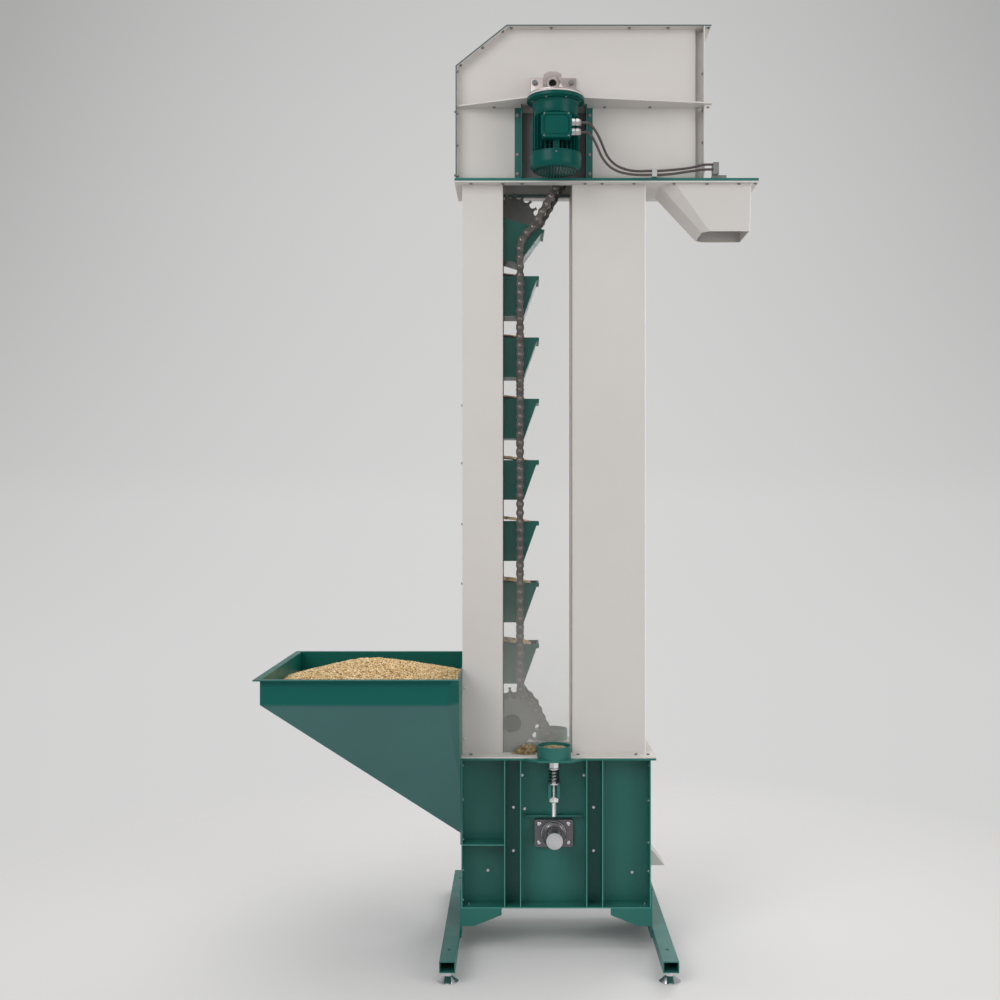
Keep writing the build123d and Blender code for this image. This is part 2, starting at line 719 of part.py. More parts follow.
class Route:
    """Plane path of straight runs and arcs in (x, z), walked by its length."""

    def __init__(self):
        self.spans = []
        self.length = 0.0

    def line(self, start, end):
        size = math.hypot(end[0] - start[0], end[1] - start[1])
        self.spans.append(("line", self.length, size, start, end))
        self.length += size

    def arc(self, centre, radius, start_deg, end_deg):
        size = abs(math.radians(end_deg - start_deg)) * radius
        self.spans.append(("arc", self.length, size, centre, radius, start_deg, end_deg))
        self.length += size

    def at(self, s):
        """Point and unit direction at length s."""
        span = [item for item in self.spans if item[1] <= s + 1e-6][-1]
        t = (s - span[1]) / span[2]
        if span[0] == "line":
            (x0, z0), (x1, z1) = span[3], span[4]
            direction = ((x1 - x0) / span[2], (z1 - z0) / span[2])
            return (x0 + t * (x1 - x0), z0 + t * (z1 - z0)), direction
        centre, radius, start_deg, end_deg = span[3:]
        angle = math.radians(start_deg + t * (end_deg - start_deg))
        turn = 1 if end_deg > start_deg else -1
        point = (centre[0] + radius * math.cos(angle), centre[1] + radius * math.sin(angle))
        return point, (-turn * math.sin(angle), turn * math.cos(angle))


def chain_route():
    """Rising run of the chain, from under the boot sprocket to over the head sprocket."""
    guide_r = pitch_radius(guide_teeth)
    boot_r, head_r = pitch_radius(boot_teeth), pitch_radius(head_teeth)
    knee_x = chain_x + knee_r
    rise = math.sqrt((guide_r + knee_r) ** 2 - (knee_x - guide_x) ** 2)
    join = math.degrees(math.atan2(rise, knee_x - guide_x))
    route = Route()

    def tangent_angle(end_r, end_x, end_z, guide_z):
        dx, dz = end_x - guide_x, abs(end_z - guide_z)
        distance = math.hypot(dx, dz)
        return math.degrees(math.asin((end_r - guide_r) / distance)) + math.degrees(math.atan2(dx, dz))

    def on_circle(x, z, radius, angle):
        return (x + radius * math.cos(math.radians(angle)), z + radius * math.sin(math.radians(angle)))

    low = tangent_angle(boot_r, drive_x, boot_shaft_z, lower_guide_z)
    route.arc((drive_x, boot_shaft_z), boot_r, -60, low)
    route.line(on_circle(drive_x, boot_shaft_z, boot_r, low), on_circle(guide_x, lower_guide_z, guide_r, low))
    route.arc((guide_x, lower_guide_z), guide_r, low, join)
    route.arc((knee_x, lower_guide_z + rise), knee_r, 180 + join, 180)
    route.line((chain_x, lower_guide_z + rise), (chain_x, upper_guide_z - rise))
    route.arc((knee_x, upper_guide_z - rise), knee_r, 180, 180 - join)
    high = tangent_angle(head_r, gear_x, head_shaft_z, upper_guide_z)
    route.arc((guide_x, upper_guide_z), guide_r, -join, -high)
    route.line(on_circle(guide_x, upper_guide_z, guide_r, -high),
               on_circle(gear_x, head_shaft_z, head_r, -high))
    route.arc((gear_x, head_shaft_z), head_r, -high, 60)
    return route


def chain_run(route, y_middle):
    """Scalloped side plates joined by a roller at every pitch."""
    links = int(route.length // chain_pitch)
    left, right = [], []
    for i in range(2 * links + 1):
        (x, z), (dx, dz) = route.at(i * chain_pitch / 2)
        half = plate_height / 2 if i % 2 == 0 else plate_waist / 2
        left.append((x - dz * half, z + dx * half))
        right.append((x + dz * half, z - dx * half))
    outline = left + right[::-1]
    parts = []
    for side in (-1, 1):
        faces = sorted((y_middle + side * plate_gap / 2, y_middle + side * (plate_gap / 2 + plate_thick)))
        parts.append(slab_y(outline, faces[0], faces[1]))
    for i in range(links + 1):
        (x, z), _ = route.at(i * chain_pitch)
        roller = extrude(Plane.XZ * RegularPolygon(roller_r, 8), amount=plate_gap / 2, both=True)
        parts.append(Pos(x, y_middle, z) * roller)
    return parts[0].fuse(*parts[1:])


def roller_phase(route, x, z, low, high):
    """Angle about (x, z) of a roller whose place on the route is between two heights."""
    for i in range(int(route.length // chain_pitch) + 1):
        (px, pz), _ = route.at(i * chain_pitch)
        if low < pz < high:
            return math.degrees(math.atan2(pz - z, px - x))
    return 0.0


def bucket(rim_z):
    """One bucket, open on top, with the tabs that carry it on both chains."""
    outline = [(bucket_left, rim_z), (bucket_right, rim_z), (bucket_bottom_right, rim_z - bucket_height),
               (bucket_bottom_left, rim_z - bucket_height)]
    t = bucket_sheet
    hollow = [(bucket_left + t, rim_z), (bucket_right - t, rim_z),
              (bucket_bottom_right - t, rim_z - bucket_height + t),
              (bucket_bottom_left + t, rim_z - bucket_height + t)]
    body = slab_y(outline, -bucket_half_y, bucket_half_y)
    body += block(bucket_right - bucket_lip, bucket_right + bucket_lip_reach, -bucket_half_y, bucket_half_y,
                  rim_z - bucket_lip, rim_z)
    body -= slab_y(hollow, -bucket_half_y + t, bucket_half_y - t)
    inner_plate = chain_y - plate_gap / 2 - plate_thick
    middle = rim_z - bucket_height / 2
    tab = block(chain_x - tab_width / 2, chain_x + tab_width / 2, -inner_plate, -bucket_half_y,
                middle - tab_height / 2, middle + tab_height / 2)
    return body + tab + back_copy(tab)


def conveyor_pieces():
    """Chains, their sprockets and the buckets between them."""
    route = chain_route()
    for side, name in ((-1, "front"), (1, "back")):
        pieces[name + "_chain"] = chain_run(route, side * chain_y)

    for name, guide_z in (("lower", lower_guide_z), ("upper", upper_guide_z)):
        reach = pitch_radius(guide_teeth)
        toward = 1 if name == "lower" else -1
        band = sorted((guide_z + toward * reach * 0.35, guide_z + toward * reach * 0.8))
        phase = roller_phase(route, guide_x, guide_z, band[0], band[1])
        wheel = sprocket(guide_teeth, guide_x, guide_z, phase, -chain_y)
        arm_y = -trunk_half_y + window_thick
        wheel += rod_y(guide_x, guide_z, guide_hub_r, arm_y, -chain_y + sprocket_thick)
        wheel += block(trunk_left + trunk_sheet, guide_x, arm_y, arm_y + guide_arm_thick,
                       guide_z - guide_arm_height / 2, guide_z + guide_arm_height / 2)
        if name == "lower":
            pieces["lower_guide_sprockets"] = together([wheel, back_copy(wheel)])
        else:
            pieces["upper_guide_sprocket"] = back_copy(wheel)

    head_shaft_back = head_half_y + bearing_plate + bearing_boss_length
    for name, teeth, x, z, shaft_r, y0, y1 in (
            ("boot_shaft", boot_teeth, drive_x, boot_shaft_z, boot_shaft_r,
             -boot_shaft_reach, boot_shaft_reach),
            ("head_shaft", head_teeth, gear_x, head_shaft_z, head_shaft_r,
             gear_body_front_y - gear_boss_length / 2, head_shaft_back)):
        shaft = rod_y(x, z, shaft_r, y0, y1)
        for side in (-1, 1):
            shaft += rod_y(x, z, pitch_radius(teeth) - roller_r - roller_seat_gap,
                           side * chain_y - sprocket_thick / 2, side * chain_y + sprocket_thick / 2)
        pieces[name] = shaft

    row = [bucket(first_rim_z + i * bucket_spacing) for i in range(bucket_count)]
    row.append(tipping_bucket(route))
    pieces["lower_buckets"] = together(row[:3])
    pieces["middle_buckets"] = together(row[3:6])
    pieces["upper_buckets"] = together(row[6:])


def tipping_bucket(route):
    """The bucket that follows the chain round the upper guide."""
    top_rim = first_rim_z + (bucket_count - 1) * bucket_spacing
    middle = top_rim - bucket_height / 2
    steps = int(route.length)
    start = min(range(steps), key=lambda s: abs(route.at(s)[0][1] - middle) + abs(route.at(s)[0][0] - chain_x))
    (x, z), (dx, dz) = route.at(start + tipping_spacing)
    tilt = math.degrees(math.atan2(dx, dz))
    shape = Pos(-chain_x, 0, -middle) * bucket(top_rim)
    return Pos(x, 0, z) * Rot(0, tilt, 0) * shape


def lead_pieces():
    """Cable glands, the two motor leads, their clip and the junction they end in."""
    x0 = motor_x + terminal_width / 2 - bracket_sheet
    start_x = x0 + gland_length
    gland_z = (terminal_top_z - upper_gland_drop, terminal_top_z - lower_gland_drop)
    nut = Rot(0, 90, 0) * extrude(RegularPolygon(gland_r, 6), amount=gland_length)
    pieces["cable_glands"] = together([Pos(x0, gland_y, z) * nut for z in gland_z])

    clip_run = clip_width * 1.3
    clip_y = -head_rim_y - lead_r - clip_wall - 1
    upper = [(start_x, gland_y, gland_z[0]), (86, gland_y, gland_z[0])]
    lower = [(start_x, gland_y, gland_z[1]), (84, gland_y, gland_z[1])]
    upper_route = [(101, -238, 103), (116, -228, 82.5), (128, -216, 58), (142, -202, 32), (166, -184, 15),
                   (202, -160, 8.5), (237, -140, 11), (clip_x - clip_run, clip_y, 18),
                   (clip_x + clip_run, clip_y, 18), (326, clip_y - 0.5, 20), (380, clip_y, 25.5),
                   (421, clip_y, 36), (junction_x, clip_y, 36)]
    lower_route = [(98, -238, 78), (110, -230, 57), (122, -220, 32), (142, -206, 9), (171, -188, -3),
                   (208, -166, -4.4), (237, -143, 0), (clip_x - clip_run, clip_y, 6.5),
                   (clip_x + clip_run, clip_y, 6.5), (333, clip_y - 0.5, 9), (385, clip_y, 17),
                   (423, clip_y, 22), (junction_x, clip_y, 22)]
    upper += [(x, y, base_top_z + rise) for x, y, rise in upper_route]
    lower += [(x, y, base_top_z + rise) for x, y, rise in lower_route]
    clip = block(clip_x - clip_width / 2, clip_x + clip_width / 2, clip_y - lead_r - clip_wall,
                 -head_rim_y + clip_width, base_top_z, upper[10][2] + lead_r + clip_wall)
    for name, points in (("upper_motor_lead", upper), ("lower_motor_lead", lower)):
        pieces[name] = lead(name, points)
        clip -= rod_x(clip_y, points[10][2], lead_r + lead_fit, clip_x - clip_width, clip_x + clip_width)
    pieces["lead_clip"] = clip

    length, depth, height = junction_body
    pad_top = base_top_z + junction_pad_height
    junction = block(junction_x, junction_x + junction_pad_length, -head_rim_y, -head_rim_y + depth,
                     base_top_z, pad_top)
    junction += block(junction_x, junction_x + length, clip_y - lead_r - clip_wall, -head_rim_y + depth / 2,
                      pad_top, pad_top + height)
    pieces["lead_junction"] = junction


def lead(name, points):
    """Round lead along straight runs joined by arcs as large as the runs allow."""
    corners = [Vector(*p) for p in points]
    radii = []
    for a, b, c in zip(corners, corners[1:], corners[2:]):
        turn = math.radians((b - a).get_angle(c - b))
        shorter = min((b - a).length, (c - b).length)
        radii.append(0.45 * shorter / math.tan(turn / 2))
    print(name, "radii", [round(r) for r in radii])
    path = FilletPolyline(*corners, radius=radii)
    start = Plane(origin=corners[0], z_dir=corners[1] - corners[0])
    return sweep(start * Circle(lead_r), path=path)


def hood_pieces():
    """Small clean-out hood on the boot's right side."""
    x0 = boot_half_x
    outline = [(x0, hood_top_z), (x0 + 8, hood_top_z - 2), (x0 + 18, hood_top_z - 10), (x0 + hood_reach, hood_bottom_z),
               (x0, hood_bottom_z)]
    solid = slab_y(outline, -hood_half_y, hood_half_y)
    t = 2.0
    inner = [(x0, hood_top_z - t), (x0 + 7, hood_top_z - t - 2), (x0 + 17, hood_top_z - t - 10),
             (x0 + hood_reach - 1.2 * t, hood_bottom_z), (x0, hood_bottom_z)]
    pieces["clean_out_hood"] = solid - slab_y(inner, -hood_half_y + t, hood_half_y - t)


boot_pieces()
take_up_pieces()
feet_pieces()
trunk_pieces()
hopper_pieces()
head_pieces()
spout_pieces()
drive_pieces()
conveyor_pieces()
lead_pieces()
hood_pieces()

os.makedirs("parts", exist_ok=True)
for node, shape in pieces.items():
    export_step(Pos(-origin_x, 0, 0) * shape, "parts/" + node + ".step")
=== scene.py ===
import bpy
import bmesh
import json
import math
import random
from mathutils import Matrix, Vector


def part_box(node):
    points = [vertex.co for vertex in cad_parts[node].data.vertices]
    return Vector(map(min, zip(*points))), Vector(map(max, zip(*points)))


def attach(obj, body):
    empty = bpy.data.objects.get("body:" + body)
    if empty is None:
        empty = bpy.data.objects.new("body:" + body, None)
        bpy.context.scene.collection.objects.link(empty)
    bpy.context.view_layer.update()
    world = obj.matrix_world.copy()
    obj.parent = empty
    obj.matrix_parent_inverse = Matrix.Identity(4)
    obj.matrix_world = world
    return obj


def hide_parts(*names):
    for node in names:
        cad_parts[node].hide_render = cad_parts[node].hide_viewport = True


# Looks of the bucket elevator, in metres. +Z is up and the window side faces -Y.

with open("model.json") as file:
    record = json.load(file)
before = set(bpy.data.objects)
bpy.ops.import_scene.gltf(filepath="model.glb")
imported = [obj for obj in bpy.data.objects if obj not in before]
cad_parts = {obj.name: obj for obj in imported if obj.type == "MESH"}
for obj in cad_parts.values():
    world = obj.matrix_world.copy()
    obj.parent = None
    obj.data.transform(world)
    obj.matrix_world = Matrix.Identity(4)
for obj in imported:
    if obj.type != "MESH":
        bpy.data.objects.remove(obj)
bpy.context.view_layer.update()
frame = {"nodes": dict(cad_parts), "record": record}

# Pieces are made in millimetres from the trunk's middle, and moved to the row frame at the end
MM = 0.001
TRUNK_MIDDLE = (0.12, 0.0, 0.0)
TO_ROW = Matrix.Translation(TRUNK_MIDDLE) @ Matrix.Scale(MM, 4)


def node_box(node):
    """Lowest and highest corner of a CAD node, in those millimetres to a tenth."""
    corners = [TO_ROW.inverted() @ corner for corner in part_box(node)]
    return [Vector([round(value, 1) for value in corner]) for corner in corners]


def node_middle(node):
    """Middle of a CAD node's box, in the same millimetres."""
    low, high = node_box(node)
    return (low + high) / 2


# Places that more than one piece uses, in those millimetres
SHEET = 3.0
(BOOT_LEFT, BOOT_RIM_Y, BOOT_FLOOR_Z), (BOOT_RIGHT, _, BOOT_TOP_Z) = node_box("boot_shell")
(WINDOW_LEFT, WALL_Y, BASE_FLANGE_Z), (WINDOW_RIGHT, _, SOLE_Z) = node_box("front_window")
TRUNK_LEFT = node_box("trunk_left_channel")[0].x
TRUNK_RIGHT = node_box("trunk_return_duct")[1].x
(HEAD_LEFT, HEAD_RIM_Y, HEAD_FLOOR_Z), (HEAD_EAR_X, _, HEAD_TOP_Z) = node_box("head_hood")
HEAD_WALL_Y = node_box("head_front_wall")[0].y
HEAD_RIGHT = node_box("head_front_wall")[1].x + SHEET
CHAMFER_X, CHAMFER_Z = 146.0, 116.5
SHELF_Z, SHELF_TOP_Z = (corner.z for corner in node_box("drive_shelf"))
DRIVE_X, _, BOOT_SHAFT_Z = node_middle("front_boot_bearing")
GEAR_X, _, HEAD_SHAFT_Z = node_middle("head_back_bearing")
MOTOR_X, MOTOR_Y = node_middle("motor").x, -165.5
CHAIN_X, CHAIN_Y = -102.0, node_middle("back_chain").y
UP, DOWN, LEFT, RIGHT, FRONT = (0, 0, 1), (0, 0, -1), (-1, 0, 0), (1, 0, 0), (0, -1, 0)
SIDES = ((-1, "front"), (1, "back"))

# Colours as they are written in sRGB
TEAL = (0.16, 0.42, 0.39)
HOPPER_TEAL = (0.03, 0.36, 0.33)
# Lighter, greyer teal of the hopper's slopes: a painted reflection of the floor
HOPPER_SHEEN_TEAL = (0.26, 0.42, 0.41)
# Lighter teal of painted highlights on the boot's sheet edges
EDGE_HIGHLIGHT_TEAL = (0.30, 0.56, 0.52)
HOOD_EDGE = (0.20, 0.33, 0.34)
MOTOR_TEAL = (0.0, 0.31, 0.285)
BUCKET_GREEN = (0.01, 0.31, 0.275)
WHITE = (0.815, 0.80, 0.785)
# White of painted highlights on sheet edges
WHITE_HIGHLIGHT = (0.93, 0.925, 0.915)
PLATE_GREY = (0.50, 0.49, 0.50)
# Near black of painted shade in gaps, bores and holes
SHADE_COLOUR = (0.05, 0.06, 0.06)
PANE = (0.80, 0.80, 0.78)
# Brown of painted shade between grains
GRAIN_GAP_SHADE = (0.52, 0.38, 0.19)
FLOOR_GREY = (0.878, 0.873, 0.873)
STRAWS = ((0.0, (0.62, 0.47, 0.27)), (0.3, (0.85, 0.72, 0.50)),
          (0.7, (0.93, 0.83, 0.64)), (1.0, (0.99, 0.93, 0.79)))

# Where nearly all values of a noise lie
NOISE_RANGE = (0.3, 0.7)


def linear(colour):
    """sRGB triple to linear values with alpha."""
    values = [c / 12.92 if c <= 0.04045 else ((c + 0.055) / 1.055) ** 2.4 for c in colour[:3]]
    return (*values, 1.0)


def toned(colour, factor):
    """Linear colour made darker or lighter by a factor, and no brighter than white."""
    return (*(min(1.0, c * factor) for c in colour[:3]), 1.0)


def feed(tree, socket, value):
    """Gives a node's input a value, or another node's output."""
    if isinstance(value, (int, float, tuple)):
        socket.default_value = value
    else:
        tree.links.new(value, socket)


class Shader:
    """A material's node tree, with short calls to add and link nodes."""

    def __init__(self, name):
        self.material = bpy.data.materials.new(name)
        self.material.use_nodes = True
        self.tree = self.material.node_tree
        self.base = self.tree.nodes["Principled BSDF"]
        self.output = self.tree.nodes["Material Output"]
        self.place = self.add("ShaderNodeTexCoord").outputs["Object"]

    def add(self, kind, **settings):
        node = self.tree.nodes.new(kind)
        for key, value in settings.items():
            setattr(node, key, value)
        return node

    def link(self, source, target):
        self.tree.links.new(source, target)

    def height(self):
        """Height above the ground, in metres."""
        node = self.add("ShaderNodeSeparateXYZ")
        self.link(self.place, node.inputs["Vector"])
        return node.outputs["Z"]

    def noise(self, scale, detail=3.0, rough=0.5):
        node = self.add("ShaderNodeTexNoise")
        node.inputs["Scale"].default_value = scale
        node.inputs["Detail"].default_value = detail
        node.inputs["Roughness"].default_value = rough
        self.link(self.place, node.inputs["Vector"])
        return node.outputs["Fac"]

    def ramp(self, source, stops):
        node = self.add("ShaderNodeValToRGB")
        elements = node.color_ramp.elements
        while len(elements) < len(stops):
            elements.new(0.5)
        for element, (position, colour) in zip(elements, stops):
            element.position = position
            element.color = colour if len(colour) == 4 else (*colour, 1.0)
        self.link(source, node.inputs["Fac"])
        return node.outputs["Color"]

    def span(self, source, before, after):
        """One range of a value mapped to another."""
        node = self.add("ShaderNodeMapRange")
        for name, value in zip(("From Min", "From Max", "To Min", "To Max"), (*before, *after)):
            node.inputs[name].default_value = value
        self.link(source, node.inputs["Value"])
        return node.outputs["Result"]

    def around(self, noise, middle, drift):
        """Value that drifts with a noise to both sides of its middle."""
        return self.span(noise, NOISE_RANGE, (middle - drift, middle + drift))

    def mix(self, fac, first, second):
        node = self.add("ShaderNodeMix", data_type="RGBA")
        colour_inputs = [s for s in node.inputs if s.type == "RGBA"]
        for socket, value in zip(colour_inputs, (first, second)):
            feed(self.tree, socket, value)
        self.link(fac, node.inputs["Factor"])
        return [s for s in node.outputs if s.type == "RGBA"][0]

    def bump(self, height, strength, distance):
        node = self.add("ShaderNodeBump")
        node.inputs["Strength"].default_value = strength
        node.inputs["Distance"].default_value = distance
        self.link(height, node.inputs["Height"])
        return node.outputs["Normal"]

    def texture(self, scale, depth, detail=2.0, rough=0.6, strength=0.5):
        """Fine relief all over the surface."""
        self.set(normal=self.bump(self.noise(scale, detail, rough), strength, depth))

    def set(self, **values):
        """Values or sockets for the surface's own inputs."""
        names = {"colour": "Base Color", "rough": "Roughness", "metal": "Metallic", "normal": "Normal",
                 "coat": "Coat Weight", "coat_rough": "Coat Roughness", "alpha": "Alpha",
                 "specular": "Specular IOR Level"}
        for key, value in values.items():
            feed(self.tree, self.base.inputs[names[key]], value)


def painted(name, colour, rough, grain, depth, spread=0.06, coat=0.0, specular=0.3):
    """Powder coat: slight colour drift, fine texture, duller and brighter patches."""
    s = Shader(name)
    base = linear(colour)
    drift = s.noise(scale=3.0, detail=4.0, rough=0.6)
    s.set(colour=s.ramp(drift, [(0.35, toned(base, 1 - spread)), (0.65, toned(base, 1 + spread))]))
    s.set(rough=s.around(s.noise(scale=14.0, rough=0.6), rough, 0.06), specular=specular)
    s.texture(grain, depth)
    if coat:
        s.set(coat=coat, coat_rough=0.25)
    return s.material


def hopper_paint():
    """Powder coat, darker on the upright band and lighter and greyer on the slopes below it, where a
    reflection of the floor is painted.
    """
    slope_top, band_foot = 0.712, 0.722
    s = Shader("hopper_powder_coat")
    band_colour, hazy = linear(HOPPER_TEAL), linear(HOPPER_SHEEN_TEAL)
    band = s.span(s.height(), (slope_top, band_foot), (0.0, 1.0))
    drift = s.noise(scale=3.0, detail=4.0, rough=0.6)
    slope = s.ramp(drift, [(0.3, toned(hazy, 0.93)), (0.7, toned(hazy, 1.07))])
    s.set(colour=s.mix(band, slope, band_colour), specular=0.18)
    s.set(rough=s.around(s.noise(scale=14.0, rough=0.6), 0.36, 0.06))
    s.texture(900.0, depth=0.00006)
    return s.material


def metal(name, colour, rough, spread, depth=0.00004):
    """Bare metal with a fine mottled tone and texture."""
    s = Shader(name)
    base = linear(colour)
    tone = s.noise(scale=60.0, detail=4.0, rough=0.6)
    s.set(colour=s.ramp(tone, [(0.3, toned(base, 1 - spread)), (0.7, toned(base, 1 + spread))]))
    s.set(metal=1.0, rough=s.around(tone, rough, 0.08))
    s.texture(240.0, depth, rough=0.5)
    return s.material


def plastic(name, colour, rough):
    """Moulded plastic or rubber with a faint fleck and a fine texture."""
    s = Shader(name)
    base = linear(colour)
    light = tuple(min(1.0, c * 1.25 + 0.002) for c in base[:3])
    s.set(colour=s.ramp(s.noise(scale=40.0), [(0.4, base), (0.7, light)]))
    s.set(rough=s.around(s.noise(scale=90.0), rough, 0.05))
    s.texture(900.0, depth=0.00005, detail=3.0, rough=0.5, strength=0.3)
    return s.material


def window_pane(name, hazy):
    """Clear pane, or one with a dust film that thickens towards its lower end."""
    film_low, film_high = 0.54, 1.14
    s = Shader(name)
    s.set(colour=linear(PANE), rough=0.35, specular=0.25, alpha=0.03)
    if not hazy:
        return s.material
    covers = ((0.0, 0.30), (0.45, 0.13), (0.72, 0.05), (1.0, 0.015))
    rise = s.span(s.height(), (film_low, film_high), (0.0, 1.0))
    film = s.ramp(rise, [(position, (cover,) * 3) for position, cover in covers])
    clouded = s.add("ShaderNodeMath", operation="MULTIPLY")
    s.link(film, clouded.inputs[0])
    s.link(s.around(s.noise(scale=6.0), 0.99, 0.07), clouded.inputs[1])
    s.set(alpha=clouded.outputs[0])
    return s.material


def wheat_cells(s, shade):
    """Cells of one grain each, and a straw colour that differs from cell to cell."""
    cells = s.add("ShaderNodeTexVoronoi", feature="F1")
    cells.inputs["Scale"].default_value = 190.0
    s.link(s.place, cells.inputs["Vector"])
    tint = s.add("ShaderNodeSeparateColor")
    s.link(cells.outputs["Color"], tint.inputs[0])
    stops = [(position, linear(tuple(c * shade for c in straw))) for position, straw in STRAWS]
    return cells, s.ramp(tint.outputs[0], stops)


def loose_grain(name, shade=1.0):
    """Single kernels of wheat."""
    s = Shader(name)
    _, husk = wheat_cells(s, shade)
    s.set(colour=husk, rough=0.5, specular=0.35)
    s.texture(700.0, depth=0.0003, rough=0.5, strength=0.4)
    return s.material


def bedded_grain(name):
    """Close wheat under the loose kernels, with painted shade in the gaps between its grains."""
    s = Shader(name)
    cells, husk = wheat_cells(s, 1.0)
    gap_shade = s.span(cells.outputs["Distance"], (0.45, 0.75), (0.0, 1.0))
    s.set(colour=s.mix(gap_shade, husk, linear(GRAIN_GAP_SHADE)), rough=0.6, specular=0.3)
    s.set(normal=s.bump(s.span(cells.outputs["Distance"], (0.0, 0.8), (1.0, 0.0)), 0.8, 0.002))
    return s.material


mat_teal = painted("teal_powder_coat", TEAL, rough=0.4, grain=900.0, depth=0.00008, coat=0.06)
mat_hopper = hopper_paint()
mat_edge_highlight = painted("teal_highlight_paint", EDGE_HIGHLIGHT_TEAL, rough=0.35, grain=900.0, depth=0.00005)
mat_hood_edge = painted("hood_edge_paint", HOOD_EDGE, rough=0.45, grain=900.0, depth=0.00005)
mat_motor = painted("motor_enamel", MOTOR_TEAL, rough=0.3, grain=500.0, depth=0.00005, specular=0.16)
mat_white = painted("white_powder_coat", WHITE, rough=0.5, grain=260.0, depth=0.0004, spread=0.02)
mat_white_highlight = painted("white_highlight_paint", WHITE_HIGHLIGHT, rough=0.45, grain=420.0, depth=0.0001, spread=0.02)
mat_bucket = painted("bucket_enamel", BUCKET_GREEN, rough=0.38, grain=700.0, depth=0.00008, specular=0.14)
mat_dark = painted("dark_plate_paint", PLATE_GREY, rough=0.5, grain=400.0, depth=0.0001)
mat_shade = painted("painted_shade", SHADE_COLOUR, rough=0.8, grain=400.0, depth=0.0001)
mat_steel = metal("turned_steel", (0.80, 0.80, 0.81), rough=0.22, spread=0.05)
mat_bearing = metal("bearing_iron", (0.44, 0.43, 0.44), rough=0.42, spread=0.08)
mat_gear = metal("cast_gear_case", (0.74, 0.70, 0.69), rough=0.40, spread=0.08, depth=0.0001)
mat_chrome = metal("plated_steel", (0.88, 0.88, 0.89), rough=0.14, spread=0.04)
mat_zinc = metal("zinc_fastener", (0.82, 0.82, 0.83), rough=0.28, spread=0.08)
mat_bolt = metal("dull_zinc_fastener", (0.58, 0.58, 0.58), rough=0.34, spread=0.1)
mat_gland = metal("nickel_gland", (0.72, 0.71, 0.70), rough=0.3, spread=0.06)
mat_screw = metal("bright_screw_steel", (0.95, 0.95, 0.95), rough=0.42, spread=0.04)
mat_chain = metal("chain_steel", (0.36, 0.34, 0.33), rough=0.36, spread=0.25)
mat_roller = metal("chain_pin_steel", (0.47, 0.45, 0.44), rough=0.3, spread=0.2)
mat_sprocket = metal("sprocket_steel", (0.42, 0.42, 0.42), rough=0.5, spread=0.12)
mat_grey = plastic("grey_moulding", (0.45, 0.45, 0.45), rough=0.5)
mat_cable = plastic("cable_sheath", (0.29, 0.25, 0.25), rough=0.42)
mat_black = plastic("black_moulding", (0.05, 0.05, 0.05), rough=0.55)
mat_window = window_pane("window_pane", hazy=True)
mat_back_window = window_pane("back_window_pane", hazy=False)
mat_grain = bedded_grain("grain_husk")
mat_kernel = loose_grain("loose_kernel")
mat_spilled = loose_grain("spilled_kernel", shade=0.72)

SLOT_LOOKS = {
    "teal_paint": mat_teal, "white_paint": mat_white, "clear_pane": mat_window, "motor_paint": mat_motor,
    "bucket_green": mat_bucket, "bright_steel": mat_steel, "grey_casting": mat_bearing,
    "gear_case": mat_gear, "plated_pads": mat_chrome, "oiled_chain": mat_chain, "dark_plate": mat_dark,
    "grey_plastic": mat_grey, "cable_rubber": mat_cable,
}


def paint(look, *names):
    """Gives CAD nodes their look."""
    for name in names:
        node = frame["nodes"][name]
        if not node.material_slots:
            node.data.materials.append(look)
        for material_slot in node.material_slots:
            material_slot.material = look


# Every node by its slot, then those whose place asks for another look
for subpart in frame["record"]["subparts"]:
    paint(SLOT_LOOKS[subpart["material_slot"]], subpart["node"])
paint(mat_hopper, "hopper_front_wall", "hopper_back_wall", "hopper_end_wall", "hopper_floor",
      "hopper_outlet_wall", "hopper_rim")
paint(mat_back_window, "back_window")
paint(mat_sprocket, "lower_guide_sprockets", "upper_guide_sprocket")


# Tools for the shapes
def add_piece(name, mesh):
    """Smooth object of a mesh, riding on the machine."""
    mesh.polygons.foreach_set("use_smooth", [True] * len(mesh.polygons))
    obj = bpy.data.objects.new(name, mesh)
    bpy.context.scene.collection.objects.link(obj)
    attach(obj, "root")
    return obj


def piece(name, bm, material, replaces=()):
    """Piece from a bmesh in millimetres, with its steeper edges sharp."""
    bmesh.ops.transform(bm, matrix=TO_ROW, verts=bm.verts)
    bmesh.ops.recalc_face_normals(bm, faces=bm.faces)
    mesh = bpy.data.meshes.new(name)
    bm.to_mesh(mesh)
    bm.free()
    mesh.materials.append(material)
    obj = add_piece(name, mesh)
    mesh.set_sharp_from_angle(angle=math.radians(35.0))
    if replaces:
        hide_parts(*replaces)


def aim(direction):
    """Rotation that turns +Z to the direction."""
    return Vector(direction).to_track_quat("Z", "Y").to_matrix()


def box(bm, x0, x1, y0, y1, z0, z1, bevel=0.0, segments=2):
    """Block between two corners, with rounded edges if a bevel is given."""
    middle = Vector(((x0 + x1) / 2, (y0 + y1) / 2, (z0 + z1) / 2))
    size = Vector((x1 - x0, y1 - y0, z1 - z0))
    made = bmesh.ops.create_cube(bm, size=1.0, matrix=Matrix.LocRotScale(middle, None, size))
    if bevel:
        edges = list(dict.fromkeys(e for v in made["verts"] for e in v.link_edges))
        bmesh.ops.bevel(bm, geom=edges, offset=bevel, segments=segments, profile=0.5, affect="EDGES")


